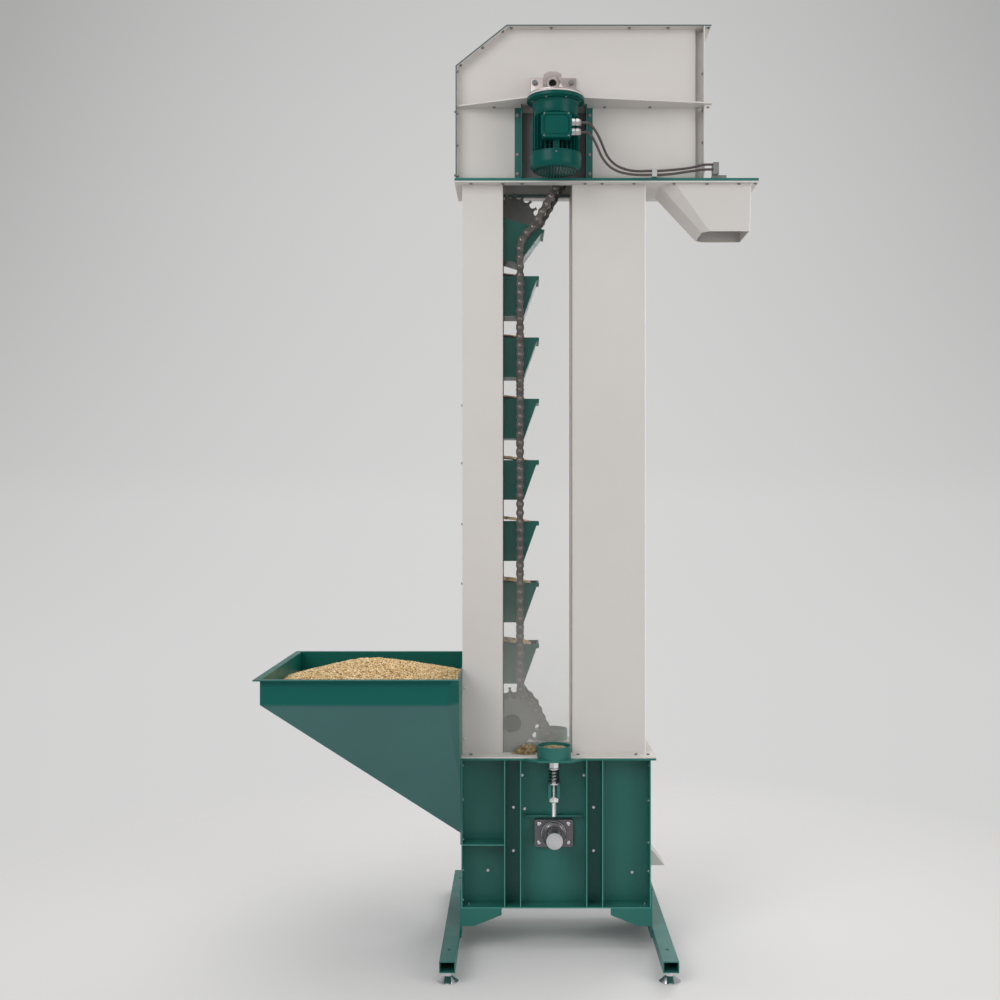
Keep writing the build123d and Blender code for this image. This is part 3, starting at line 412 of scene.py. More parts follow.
def prism(bm, outline, axis, low, high, bevel=0.0):
    """Flat piece: outline in the two other axes, from low to high along Y or Z."""
    def place(u, v, w):
        return {"y": (u, w, v), "z": (u, v, w)}[axis]
    rings = [[bm.verts.new(place(u, v, w)) for u, v in outline] for w in (low, high)]
    count = len(outline)
    for i in range(count):
        j = (i + 1) % count
        bm.faces.new([rings[0][i], rings[0][j], rings[1][j], rings[1][i]])
    caps = [bm.faces.new(rings[0]), bm.faces.new(rings[1])]
    if bevel:
        edges = list(dict.fromkeys(e for cap in caps for e in cap.edges))
        bmesh.ops.bevel(bm, geom=edges, offset=bevel, segments=1, affect="EDGES")


def ring_prism(bm, outer, inner, low, high):
    """Frame along Y between an outer and an inner outline with as many points."""
    count = len(outer)
    rings = [[bm.verts.new((u, w, v)) for u, v in outline]
             for w in (low, high) for outline in (outer, inner)]
    for a, b in ((0, 1), (2, 3), (0, 2), (1, 3)):
        for i in range(count):
            j = (i + 1) % count
            bm.faces.new([rings[a][i], rings[a][j], rings[b][j], rings[b][i]])


def octagon(half_w, half_h, cut, x, z):
    """Rectangle about (x, z) with its corners cut off."""
    u, v = half_w - cut, half_h - cut
    corners = [(u, half_h), (half_w, v), (half_w, -v), (u, -half_h),
               (-u, -half_h), (-half_w, -v), (-half_w, v), (-u, half_h)]
    return [(x + across, z + up) for across, up in corners]


def lathe(bm, profile, centre, axis, segments, spin=0.0):
    """Turned form: (radius, height) pairs along the axis from the centre."""
    turn, centre = aim(axis), Vector(centre)
    rings = []
    for radius, height in profile:
        angles = [spin + 2 * math.pi * k / segments for k in range(segments if radius else 1)]
        spots = [Vector((radius * math.cos(a), radius * math.sin(a), height)) for a in angles]
        rings.append([bm.verts.new(centre + turn @ spot) for spot in spots])
    for a, b in zip(rings, rings[1:]):
        for k in range(segments):
            corners = [a[k % len(a)], a[(k + 1) % len(a)], b[(k + 1) % len(b)], b[k % len(b)]]
            corners = list(dict.fromkeys(corners))
            if len(corners) > 2:
                bm.faces.new(corners)


def tube(bm, points, radius, segments=10):
    """Round bar along points, with flat ends."""
    points = [Vector(p) for p in points]
    normal = None
    rings = []
    for i, spot in enumerate(points):
        ahead = points[min(i + 1, len(points) - 1)] - points[max(i - 1, 0)]
        ahead.normalize()
        if normal is None:
            normal = ahead.orthogonal().normalized()
        normal = (normal - normal.dot(ahead) * ahead).normalized()
        side = ahead.cross(normal)
        rings.append([bm.verts.new(spot + radius * (math.cos(a) * normal + math.sin(a) * side))
                      for a in (2 * math.pi * k / segments for k in range(segments))])
    for a, b in zip(rings, rings[1:]):
        for k in range(segments):
            bm.faces.new([a[k], a[(k + 1) % segments], b[(k + 1) % segments], b[k]])
    bm.faces.new(rings[0])
    bm.faces.new(rings[-1])


def turned(name, look, place, axis, forms, replaces=()):
    """Piece of turned forms on one axis, each a profile and its number of sides."""
    bm = bmesh.new()
    for profile, segments in forms:
        lathe(bm, profile, place, axis, segments)
    piece(name, bm, look, replaces)


def bolt(bm, place, axis, width, height, tip):
    """Hexagon head or nut on a washer, standing on place along the axis, with a thread's tip."""
    base, washer_r, thread_r = width * 0.22, width * 1.25, width * 0.5
    top = base + height
    lathe(bm, [(0, 0), (washer_r, 0), (washer_r, base), (0, base)], place, axis, 20)
    lathe(bm, [(0, base), (width, base), (width, base + height * 0.85), (width * 0.86, top), (0, top)],
          place, axis, 6)
    if tip:
        lathe(bm, [(0, top), (thread_r, top), (thread_r, top + tip * 0.8), (width * 0.4, top + tip),
                   (0, top + tip)], place, axis, 12)


def dome(bm, place, axis, radius, height):
    """Round-headed screw."""
    profile = [(radius, 0), (radius, height * 0.25), (radius * 0.88, height * 0.62),
               (radius * 0.55, height * 0.93), (0, height)]
    lathe(bm, profile, place, axis, 16)


def bolts(name, spots, size, look, tip=0.0):
    """Hexagon heads or nuts of one size, one for each place and axis."""
    width, height = size
    bm = bmesh.new()
    for place, axis in spots:
        bolt(bm, place, axis, width, height, tip)
    piece(name, bm, look)


def both_sides(spots):
    """The spots and their mirror images on the back."""
    return spots + [((x, -y, z), (ax, -ay, az)) for (x, y, z), (ax, ay, az) in spots]


def steps(low, high, count):
    """Evenly spaced values from low to high."""
    return [low + (high - low) * i / count for i in range(count + 1)]


# Fasteners of the sheet housings: half a hexagon's width over its corners, and its height
TRUNK_HEX, BOOT_HEX, HOOD_HEX = (4.0, 3.0), (3.3, 2.6), (3.9, 3.0)
HOOD_ROW_Y, BOOT_ROW_Y, TRUNK_ROW_Y = -98.0, -112.0, -60.0


def trunk_bolts():
    """Rows through the sole flange, the base flange and the trunk's left side."""
    sole = [((x, HOOD_ROW_Y, SOLE_Z), DOWN)
            for x in (-242.5, -150.8, -96.4, 84, 132.8, 224.4, 339, 433.5, 525, 571)]
    foot = [((x, BOOT_ROW_Y, BASE_FLANGE_Z), UP) for x in (-242, 63.3, 228.8, 263)]
    left = [((TRUNK_LEFT, TRUNK_ROW_Y, z), LEFT) for z in (1545, 1378, 1202, 1030)]
    bolts("trunk_bolts", both_sides(sole + foot + left), TRUNK_HEX, mat_bolt)


def boot_bolts():
    """Bolts of the trunk's foot, then of the boot's wall, channels, sides and floor."""
    panel = [((-260.4, WALL_Y, z), FRONT) for z in (730, 584)]
    wall = [((x, WALL_Y, z), FRONT) for x, z in ((-194.2, 206.6), (220.2, 200.9), (-89.2, 383.7))]
    wall += [((x, WALL_Y, z), FRONT) for x in (-96, 82) for z in (480, 258.5, 146.2)]
    channel = [((x, WALL_Y - SHEET, z), FRONT) for x in (-121, 109.2) for z in (388.7, 263.9)]
    sides = [((BOOT_LEFT + SHEET, BOOT_ROW_Y, z), RIGHT) for z in (515, 417, 303, 216, 131)]
    sides += [((BOOT_RIGHT - SHEET, BOOT_ROW_Y, z), LEFT) for z in (515, 414, 294.5, 213)]
    floor = [((x, BOOT_ROW_Y, BOOT_FLOOR_Z + SHEET), UP) for x in (-247.7, 253.3)]
    bolts("boot_bolts", both_sides(panel + wall + channel + sides + floor), BOOT_HEX, mat_zinc)


def hood_nuts():
    """Nuts inside the hood's left, right, sloping and top sheets, and two heads outside."""
    off_slope = (0.62, 0, -0.78)
    hood = [((HEAD_LEFT + SHEET, HOOD_ROW_Y, z), RIGHT) for z in (2498, 2378, 2287, 2199)]
    hood += [((HEAD_RIGHT - SHEET, HOOD_ROW_Y, z), LEFT) for z in (2615, 2492, 2386, 2295)]
    hood += [((x, HOOD_ROW_Y, z), off_slope) for x, z in ((-273, 2517), (-210, 2567.5), (-152, 2614))]
    hood += [((x, HOOD_ROW_Y, HEAD_TOP_Z - SHEET), DOWN) for x in (-127, -12.5, 211, 322, 437)]
    hood += [((HEAD_LEFT, HOOD_ROW_Y, z), LEFT) for z in (2383, 2201)]
    bolts("hood_nuts", both_sides(hood), HOOD_HEX, mat_bolt, tip=1.5)


def shelf_and_bracket_bolts():
    """Bolts under the drive shelf, and on the flanges of the motor's brackets."""
    shelf = [((x, HOOD_ROW_Y, SHELF_Z), DOWN) for x in (-176.6, 140, 270, 436)]
    bolts("shelf_bolts", shelf, TRUNK_HEX, mat_bolt)
    brackets = [((x, HEAD_WALL_Y - SHEET, z), FRONT) for x in (-110, 98) for z in (2376, 2263, 2208)]
    bolts("bracket_bolts", brackets, HOOD_HEX, mat_bolt)


# Cut edges of sheets, drawn as thin bands that stand a little proud; the lighter bands are painted highlights
def boot_edges():
    """Painted highlights on the cut edges of the boot's sheets, lighter bands where the edges catch the
    light.
    """
    proud, sunk, inset, rib_half = 0.5, 0.2, 0.3, 1.1
    uprights = (BOOT_LEFT, -147.0, -102.0, 85.0, 130.0, BOOT_RIGHT - SHEET)
    rib_right, rib_z = -147.0, 296.0
    floor_top = BOOT_FLOOR_Z + SHEET
    bm = bmesh.new()
    for side, _ in SIDES:
        y0, y1 = sorted((side * (proud - BOOT_RIM_Y), side * (-BOOT_RIM_Y - sunk)))
        for x in uprights:
            box(bm, x + inset, x + SHEET - inset, y0, y1, floor_top + proud, BOOT_TOP_Z - proud)
        box(bm, BOOT_LEFT, BOOT_RIGHT, y0, y1, BOOT_FLOOR_Z + inset, floor_top - inset)
        box(bm, BOOT_LEFT + SHEET, rib_right, y0, y1, rib_z - rib_half, rib_z + rib_half)
    piece("boot_edge_highlights", bm, mat_edge_highlight)


def hood_edge():
    """Dark line along the cut edge of the hood."""
    near, far = 0.1, 0.7
    foot = HEAD_FLOOR_Z + 0.5
    outline = [(HEAD_LEFT, foot), (HEAD_LEFT, HEAD_TOP_Z - CHAMFER_Z), (HEAD_LEFT + CHAMFER_X, HEAD_TOP_Z),
               (HEAD_EAR_X, HEAD_TOP_Z), (HEAD_EAR_X, HEAD_TOP_Z - SHEET),
               (HEAD_LEFT + CHAMFER_X + 1.1, HEAD_TOP_Z - SHEET),
               (HEAD_LEFT + SHEET, HEAD_TOP_Z - CHAMFER_Z - 1.5), (HEAD_LEFT + SHEET, foot)]
    bm = bmesh.new()
    for y0, y1 in ((HEAD_RIM_Y - far, HEAD_RIM_Y - near), (-HEAD_RIM_Y + near, -HEAD_RIM_Y + far)):
        prism(bm, outline, "y", y0, y1)
    piece("hood_edge_line", bm, mat_hood_edge)


def window_seal_and_shade():
    """Grey strips along both upright edges of the panes: a seal on the right edges, painted shade on the left
    ones.
    """
    bm = bmesh.new()
    for side, _ in SIDES:
        y0, y1 = sorted((side * (-WALL_Y - 0.1), side * (-WALL_Y + 0.6)))
        box(bm, WINDOW_RIGHT - 1.0, WINDOW_RIGHT + 0.6, y0, y1, BASE_FLANGE_Z, SOLE_Z)
        box(bm, WINDOW_LEFT - 0.6, WINDOW_LEFT + 0.5, y0, y1, BASE_FLANGE_Z, SOLE_Z)
    piece("window_seal_and_shade", bm, mat_grey)


def white_edge_highlights():
    """Painted highlights on the return duct's bright corner and on the spout's outer edge."""
    spout_low, spout_high = node_box("discharge_spout")
    mouth_y, edge_r = -77.0, 1.3
    bm = bmesh.new()
    box(bm, TRUNK_RIGHT - 2.2, TRUNK_RIGHT + 0.2, WALL_Y - 0.5, WALL_Y + 0.2, BASE_FLANGE_Z, SOLE_Z)
    tube(bm, [(spout_high.x, spout_low.y, SOLE_Z), (spout_high.x, mouth_y, spout_low.z)], edge_r)
    piece("white_edge_highlights", bm, mat_white_highlight)


# Chain: round-ended plates on pins, along the route that the solids follow
CHAIN_PITCH = 25.4
GUIDE_X, LOWER_GUIDE_Z, UPPER_GUIDE_Z = -125.0, 628.0, 2107.0
GUIDE_TEETH, BOOT_TEETH, HEAD_TEETH = 19, 24, 34
KNEE_R = 60.0
PLATE_R, PLATE_WAIST, PLATE_THICK = 11.8, 7.6, 2.6
INNER_PLATE_Y, OUTER_PLATE_Y = 4.6, 7.4


def pitch_radius(teeth):
    """Radius on which a sprocket carries the chain's pins."""
    return CHAIN_PITCH / (2 * math.sin(math.pi / teeth))


def arc(x, z, radius, start, end):
    """Close-set points of an arc between two angles in degrees."""
    count = max(2, round(abs(math.radians(end - start)) * radius))
    angles = [math.radians(start + (end - start) * i / count) for i in range(count + 1)]
    return [Vector((x + radius * math.cos(a), z + radius * math.sin(a))) for a in angles]


def chain_path():
    """Rising run from under the boot sprocket, round both guides, to over the head sprocket."""
    guide_r = pitch_radius(GUIDE_TEETH)
    knee_x = CHAIN_X + KNEE_R
    rise = math.sqrt((guide_r + KNEE_R) ** 2 - (knee_x - GUIDE_X) ** 2)
    join = math.degrees(math.atan2(rise, knee_x - GUIDE_X))

    def leaving(end_r, dx, dz):
        return math.degrees(math.asin((end_r - guide_r) / math.hypot(dx, dz)) + math.atan2(dx, dz))

    boot_r, head_r = pitch_radius(BOOT_TEETH), pitch_radius(HEAD_TEETH)
    low = leaving(boot_r, DRIVE_X - GUIDE_X, LOWER_GUIDE_Z - BOOT_SHAFT_Z)
    high = leaving(head_r, GEAR_X - GUIDE_X, HEAD_SHAFT_Z - UPPER_GUIDE_Z)
    return (arc(DRIVE_X, BOOT_SHAFT_Z, boot_r, -60, low)
            + arc(GUIDE_X, LOWER_GUIDE_Z, guide_r, low, join)
            + arc(knee_x, LOWER_GUIDE_Z + rise, KNEE_R, 180 + join, 180)
            + arc(knee_x, UPPER_GUIDE_Z - rise, KNEE_R, 180, 180 - join)
            + arc(GUIDE_X, UPPER_GUIDE_Z, guide_r, -join, -high)
            + arc(GEAR_X, HEAD_SHAFT_Z, head_r, -high, 60))


def walk(path, step):
    """Points a step apart along a path."""
    spots, left = [path[0]], step
    for a, b in zip(path, path[1:]):
        size, done = (b - a).length, 0.0
        while size - done > left:
            done += left
            spots.append(a.lerp(b, done / size))
            left = step
        left -= size - done
    return spots


def link_plate(bm, start, end, y0, y1):
    """Figure-eight plate over two pins."""
    run = (end - start).normalized()
    across = Vector((-run.y, run.x))
    outline = []
    for spot, back in ((start, 180.0), (end, 0.0)):
        for k in range(9):
            a = math.radians(back - 125 + k * 250 / 8)
            outline.append(spot + PLATE_R * (math.cos(a) * run + math.sin(a) * across))
        waist = -1 if back else 1
        outline.append((start + end) / 2 + waist * PLATE_WAIST * across)
    prism(bm, [tuple(p) for p in outline], "y", y0, y1, 0.5)


def chains():
    """Plates, alternately inside and outside, with rollers and riveted pins, on both sides."""
    roller = [(7.0, -4.4), (7.0, 4.4)]
    pin_end = [(4.9, 9.8), (4.9, 10.6), (3.9, 11.1), (0, 11.1)]
    spots = walk(chain_path(), CHAIN_PITCH)
    for side, name in SIDES:
        middle = side * CHAIN_Y
        plates, pins = bmesh.new(), bmesh.new()
        for i, (start, end) in enumerate(zip(spots, spots[1:])):
            near = INNER_PLATE_Y if i % 2 else OUTER_PLATE_Y
            for face in (-1, 1):
                y0, y1 = sorted((middle + face * near, middle + face * (near + PLATE_THICK)))
                link_plate(plates, start, end, y0, y1)
        for spot in spots:
            place = (spot.x, middle, spot.y)
            lathe(pins, roller, place, FRONT, 14)
            for face in (-1, 1):
                lathe(pins, pin_end, place, (0, face, 0), 12)
        piece(name + "_chain_plates", plates, mat_chain, replaces=(name + "_chain",))
        piece(name + "_chain_pins", pins, mat_roller)


# Take-up screws with their springs, and the boot shaft's bearings
SCREW_Y = node_middle("back_take_up_screw").y
SCREW_FOOT_Z, SCREW_TOP_Z = node_box("back_take_up_screw")[0].z, BOOT_TOP_Z + 5.5
THREAD_PITCH, THREAD_CREST, THREAD_ROOT = 1.5, 7.6, 7.1
NUT_R, NUT_FACE_R, NUT_CHAMFER = 14.0, 12.6, 1.6
NUT_ENDS = ((507.0, 534.5), (410.0, 424.0))
WASHERS = ((504.5, 17.0), (424.0, 16.0), (461.8, 17.0), (534.0, 17.5))
WASHER_THICK = 2.2
SPRING_R, SPRING_WIRE_R, SPRING_TURNS, SPRING_STEPS = 14.0, 1.7, 4, 24
SPRING_LOW_Z, SPRING_HIGH_Z = 466.4, 502.2
BEARING_FACE_Y = 97.5
BEARING_BOLT_X, BEARING_BOLT_Z = 42.5, 26.5


def take_up_screw(side, name):
    """Threaded screw with two hexagons and the washers, given by their heights."""
    at = (DRIVE_X, side * SCREW_Y, 0)
    first = SCREW_FOOT_Z + 0.5
    thread = []
    for k in range(int((SCREW_TOP_Z - first) / THREAD_PITCH)):
        crest_z = first + k * THREAD_PITCH
        thread += [(THREAD_CREST, crest_z), (THREAD_ROOT, crest_z + THREAD_PITCH / 2)]
    bm = bmesh.new()
    lathe(bm, [(0, SCREW_FOOT_Z), (6, SCREW_FOOT_Z)] + thread + [(0, SCREW_TOP_Z)], at, UP, 20)
    for low, high in NUT_ENDS:
        lathe(bm, [(0, low), (NUT_FACE_R, low), (NUT_R, low + NUT_CHAMFER), (NUT_R, high - NUT_CHAMFER),
                   (NUT_FACE_R, high), (0, high)], at, UP, 6, math.radians(30))
    for low, radius in WASHERS:
        high = low + WASHER_THICK
        lathe(bm, [(0, low), (radius, low), (radius, high), (0, high)], at, UP, 28)
    piece(name + "_screw_steel", bm, mat_screw, replaces=(name + "_take_up_screw",))


def screw_spring(side, name):
    """Black coil between two of the washers."""
    last = SPRING_TURNS * SPRING_STEPS
    points = []
    for k in range(last + 1):
        a = 2 * math.pi * k / SPRING_STEPS
        z = SPRING_LOW_Z + (SPRING_HIGH_Z - SPRING_LOW_Z) * k / last
        points.append((DRIVE_X + SPRING_R * math.cos(a), side * SCREW_Y + SPRING_R * math.sin(a), z))
    bm = bmesh.new()
    tube(bm, points, SPRING_WIRE_R)
    piece(name + "_screw_spring", bm, mat_black)


def boot_bearing(side, name):
    """Turned boss, the bright shaft end and rings on it, and four socket screws."""
    out = (0, side, 0)
    face_y = side * BEARING_FACE_Y
    place = (DRIVE_X, face_y, BOOT_SHAFT_Z)
    boss = [(36.5, 0), (36.5, 2.5), (35, 4.2), (33.4, 4.4), (33.4, 9), (34.4, 10), (34.4, 16),
            (32.6, 17.8), (29.6, 18.4), (29.6, 22.6), (28.2, 23.8), (24.2, 23.8), (24.2, 21)]
    shaft_end = [(23.1, 84.8), (23.1, 86.2), (21.6, 86.8), (0, 86.8)]
    lock_ring = [(29.7, 19.2), (30.2, 19.6), (30.2, 21.6), (29.7, 22)]
    foot_ring = [(36.6, 0.8), (37, 1.2), (37, 3.4), (35.4, 5.2), (33.5, 5.4)]
    socket = [(3.0, 2.4), (2.4, 1.2), (0, 1.2)]

    turned(name + "_bearing_cap", mat_bearing, place, out, [(boss, 56)])
    turned(name + "_shaft_face", mat_steel, place, out, [(shaft_end, 48), (lock_ring, 48), (foot_ring, 56)])
    bm = bmesh.new()
    for sx in (-1, 1):
        for sz in (-1, 1):
            spot = (DRIVE_X + sx * BEARING_BOLT_X, face_y, BOOT_SHAFT_Z + sz * BEARING_BOLT_Z)
            dome(bm, spot, out, 6.6, 2.6)
            lathe(bm, socket, spot, out, 6)
    piece(name + "_bearing_bolts", bm, mat_zinc)


def take_up():
    """Screw, spring and bearing, on both sides."""
    for side, name in SIDES:
        take_up_screw(side, name)
        screw_spring(side, name)
        boot_bearing(side, name)


# Motor: flange up, finned body, box on its front and the fan cowl below
MOTOR_AXIS = (MOTOR_X, MOTOR_Y, 0)
CORE_R, FINS_LOW_Z, FINS_HIGH_Z = 52.0, 2236.0, 2342.0
COWL_FOOT_Z, COWL_TOP_Z, COWL_FLAT_R, COWL_BEND_R = 2191.2, 2240.0, 51.5, 20.0
TERMINAL_X, _, TERMINAL_Z = node_middle("terminal_box")
LID_Y = -260.0


def motor_body():
    """Flange and end bell by their depth under the shelf, fins, and a rail front and back."""
    flange = [(0, -0.2), (79.6, -0.2), (81, -1.6), (81, -9), (79.4, -10.6), (75.5, -11), (75.5, -13.6),
              (74, -14.4), (67.5, -15)]
    bell = [(65, -18), (63.6, -25), (62.6, -37), (62, -48), (60.5, -51.5), (57, -53.2), (54, -57),
            (54, -61), (0, -61)]
    fin = ((50, -1.5), (65.5, -1.0), (66.8, 0), (65.5, 1.0), (50, 1.5))
    first_fin, fin_step, fin_pairs = 16, 12, 14
    rail_half, rail_near, rail_far = 9, 48, 65
    bm = bmesh.new()
    lathe(bm, flange + bell, (MOTOR_X, MOTOR_Y, SHELF_Z), UP, 72)
    for k in range(fin_pairs):
        for mirror in (-1, 1):
            angle = math.radians(-90 + mirror * (first_fin + fin_step * k))
            out = Vector((math.cos(angle), math.sin(angle)))
            along = Vector((-out.y, out.x))
            middle = Vector((MOTOR_X, MOTOR_Y))
            corners = [middle + out * r + along * t for r, t in fin]
            prism(bm, [tuple(c) for c in corners], "z", FINS_LOW_Z, FINS_HIGH_Z)
    for y0, y1 in ((MOTOR_Y - rail_far, MOTOR_Y - rail_near), (MOTOR_Y + rail_near, MOTOR_Y + rail_far)):
        box(bm, MOTOR_X - rail_half, MOTOR_X + rail_half, y0, y1, FINS_LOW_Z, FINS_HIGH_Z, 2.0)
    piece("motor_body", bm, mat_motor, replaces=("motor",))


def motor_gap_shade():
    """Painted shade: a dark core between the fins, and a dark slot over the cowl."""
    slot_z, slot_r = COWL_TOP_Z - 0.4, 66
    core = [(CORE_R, FINS_LOW_Z + 2), (CORE_R, FINS_HIGH_Z - 2)]
    slot = [(0, slot_z), (slot_r, slot_z), (slot_r, FINS_LOW_Z), (0, FINS_LOW_Z)]
    turned("motor_gap_shade", mat_shade, MOTOR_AXIS, UP, [(core, 48), (slot, 48)])


def motor_screws():
    """Screws under the flange, in the terminal box's lid and round the cowl."""
    flange_row_r, cowl_row_r, lid_x, lid_z = 70.5, 71.3, 33.5, 30.5
    bm = bmesh.new()
    for k in range(8):
        a = math.radians(22.5 + 45 * k)
        out = Vector((math.cos(a), math.sin(a), 0))
        dome(bm, Vector((MOTOR_X, MOTOR_Y, SHELF_Z - 14.5)) + flange_row_r * out, DOWN, 2.6, 2.2)
    for sz in (1, -1):
        for sx in (-1, 1):
            dome(bm, (TERMINAL_X + sx * lid_x, LID_Y - 3, TERMINAL_Z + sz * lid_z), FRONT, 2.2, 1.4)
    for angle in (-90, 0, 90, 180):
        a = math.radians(angle)
        out = Vector((math.cos(a), math.sin(a), 0))
        dome(bm, Vector((MOTOR_X, MOTOR_Y, COWL_TOP_Z - 9)) + cowl_row_r * out, out, 2.8, 2.0)
    piece("motor_screws", bm, mat_bolt)


def terminal_housing():
    """Box on the motor's front, with an eight-sided lid, its rim and a raised middle."""
    def plate(half_w, half_h, cut):
        return octagon(half_w, half_h, cut, TERMINAL_X, TERMINAL_Z)

    bm = bmesh.new()
    box(bm, TERMINAL_X - 39.5, TERMINAL_X + 39.5, LID_Y + 6, LID_Y + 48,
        TERMINAL_Z - 31.5, TERMINAL_Z + 31.5, 5.0, 3)
    prism(bm, plate(42.5, 34.5, 10), "y", LID_Y - 0.6, LID_Y + 5.4, 1.2)
    ring_prism(bm, plate(42, 34, 10), plate(36, 28, 9), LID_Y - 3.2, LID_Y)
    prism(bm, plate(32.5, 24.5, 8), "y", LID_Y - 2.4, LID_Y, 1.0)
    piece("terminal_housing", bm, mat_motor, replaces=("terminal_box",))


def fan_cowl():
    """Cowl with a rounded foot, and rings of dark discs in it, painted shade that stands for its holes."""
    bend_z = COWL_FOOT_Z + COWL_BEND_R
    bend = []
    for degrees in range(0, 91, 9):
        a = math.radians(degrees)
        bend.append((COWL_FLAT_R + COWL_BEND_R * math.sin(a), bend_z - COWL_BEND_R * math.cos(a)))
    rim = [(71.5, FINS_LOW_Z), (72.4, FINS_LOW_Z + 0.6), (72.4, COWL_TOP_Z - 0.6), (71, COWL_TOP_Z),
           (66, COWL_TOP_Z)]
    shell = [(0, COWL_FOOT_Z)] + bend + rim
    turned("fan_cowl_shell", mat_motor, MOTOR_AXIS, UP, [(shell, 96)], replaces=("fan_cowl",))

    # Dark discs on the cowl: painted shade where its holes are
    ring_step, hole_pitch, hole = 8.6, 9.0, [(0, 0.25), (2.7, 0.25), (2.9, 0)]
    bm = bmesh.new()
    for ring in range(1, 8):
        radius = ring * ring_step
        lean = math.asin(max(0.0, radius - COWL_FLAT_R) / COWL_BEND_R)
        height = bend_z - COWL_BEND_R * math.cos(lean)
        count = int(2 * math.pi * radius / hole_pitch)
        for k in range(count):
            a = 2 * math.pi * (k + 0.5 * (ring % 2)) / count
            out = Vector((math.cos(a) * math.sin(lean), math.sin(a) * math.sin(lean), -math.cos(lean)))
            place = Vector((MOTOR_X + radius * math.cos(a), MOTOR_Y + radius * math.sin(a), height))
            lathe(bm, hole, place, out, 10)
    piece("fan_cowl_hole_shade", bm, mat_shade)


# Gear case on the shelf, and the glands of the motor's leads
CASE_FRONT_Y, WALL_PLATE_Y = -190.0, HEAD_WALL_Y - 10


def gearbox():
    """Foot by its height over the shelf, arched case with its boss, and wall plate."""
    foot = [(0, 0.2), (78.6, 0.2), (80, 1.2), (80, 3.6), (78.4, 4.8), (60, 5.6), (50, 8.5), (41, 14),
            (34, 22), (29, 31), (26, 39), (21, 45), (0, 47)]
    boss = [(0, 0), (23.5, 0), (20.6, 4), (18.6, 9), (17.8, 13.5), (16.4, 15), (11, 15.2), (10, 14), (9.8, 6)]
    bore = [(0, 8.3), (9.9, 8.3)]
    half, top, round_r = 25.0, HEAD_SHAFT_Z + 37, 12.0
    plate_left, plate_right, plate_top = -71.0, 58.0, node_box("gearbox")[1].z
    outline = [(GEAR_X - half, SHELF_TOP_Z + 3), (GEAR_X + half, SHELF_TOP_Z + 3)]
    for sign, start in ((1, 0), (-1, 90)):
        for k in range(7):
            a = math.radians(start + 15 * k)
            outline.append((GEAR_X + sign * (half - round_r) + round_r * math.cos(a),
                            top - round_r + round_r * math.sin(a)))
    shaft_place = (GEAR_X, CASE_FRONT_Y + 0.2, HEAD_SHAFT_Z)
    bm = bmesh.new()
    lathe(bm, foot, (MOTOR_X, MOTOR_Y, SHELF_TOP_Z), UP, 72)
    prism(bm, outline, "y", CASE_FRONT_Y, CASE_FRONT_Y + 100, 2.2)
    lathe(bm, boss, shaft_place, FRONT, 48)
    box(bm, plate_left, plate_right, WALL_PLATE_Y, HEAD_WALL_Y - 0.1, SHELF_TOP_Z + 0.3, plate_top, 3.0)
    piece("gear_case", bm, mat_gear, replaces=("gearbox",))
    # Dark disc in the boss: painted shade where the bore is
    turned("gear_bore_shade", mat_shade, shaft_place, FRONT, [(bore, 32)])


def gear_bolts():
    """Two large bolts and two small ones on the wall plate."""
    upper = [((x, WALL_PLATE_Y, 2467), FRONT) for x in (-59.5, 44.5)]
    lower = [((x, WALL_PLATE_Y, 2438), FRONT) for x in (-61.5, 49.5)]
    bolts("gear_bolts", upper, (6.8, 5.0), mat_bolt)
    bolts("gear_lower_bolts", lower, (3.6, 3.0), mat_bearing)


def glands():
    """Plated cable glands, each with its nut and sealing cap."""
    base_nut = [(0, 0), (10, 0), (11, 1), (11, 10), (10.4, 11), (10, 11)]
    neck = [(9.6, 10.5), (9.6, 13.5)]
    cap_nut = [(0, 13), (10, 13), (11, 14), (11, 22.5), (10, 23.5), (8, 23.5)]
    seal = [(9.2, 23), (9.2, 25.5), (7.4, 28), (5.2, 29), (3.6, 29)]
    foot_x, middle_y = node_box("cable_glands")[0].x + 0.2, -242.0
    bm = bmesh.new()
    for z in (2307, 2281):
        place = (foot_x, middle_y, z)
        for profile, segments in ((base_nut, 6), (neck, 24), (cap_nut, 6), (seal, 24)):
            lathe(bm, profile, place, RIGHT, segments)
    piece("gland_nuts", bm, mat_gland, replaces=("cable_glands",))


# Grain, lying where it is fed and carried
FIRST_BUCKET_Z, LINKS_PER_BUCKET, FULL_BUCKETS = 854.0, 7, 7
COLLAR_X, COLLAR_Y, _ = node_middle("front_collar")


def kernel_shape():
    """One kernel: an icosahedron's corners and faces."""
    bm = bmesh.new()
    bmesh.ops.create_icosphere(bm, subdivisions=1, radius=1.0)
    verts = [v.co.copy() for v in bm.verts]
    faces = [[v.index for v in f.verts] for f in bm.faces]
    bm.free()
    return verts, faces


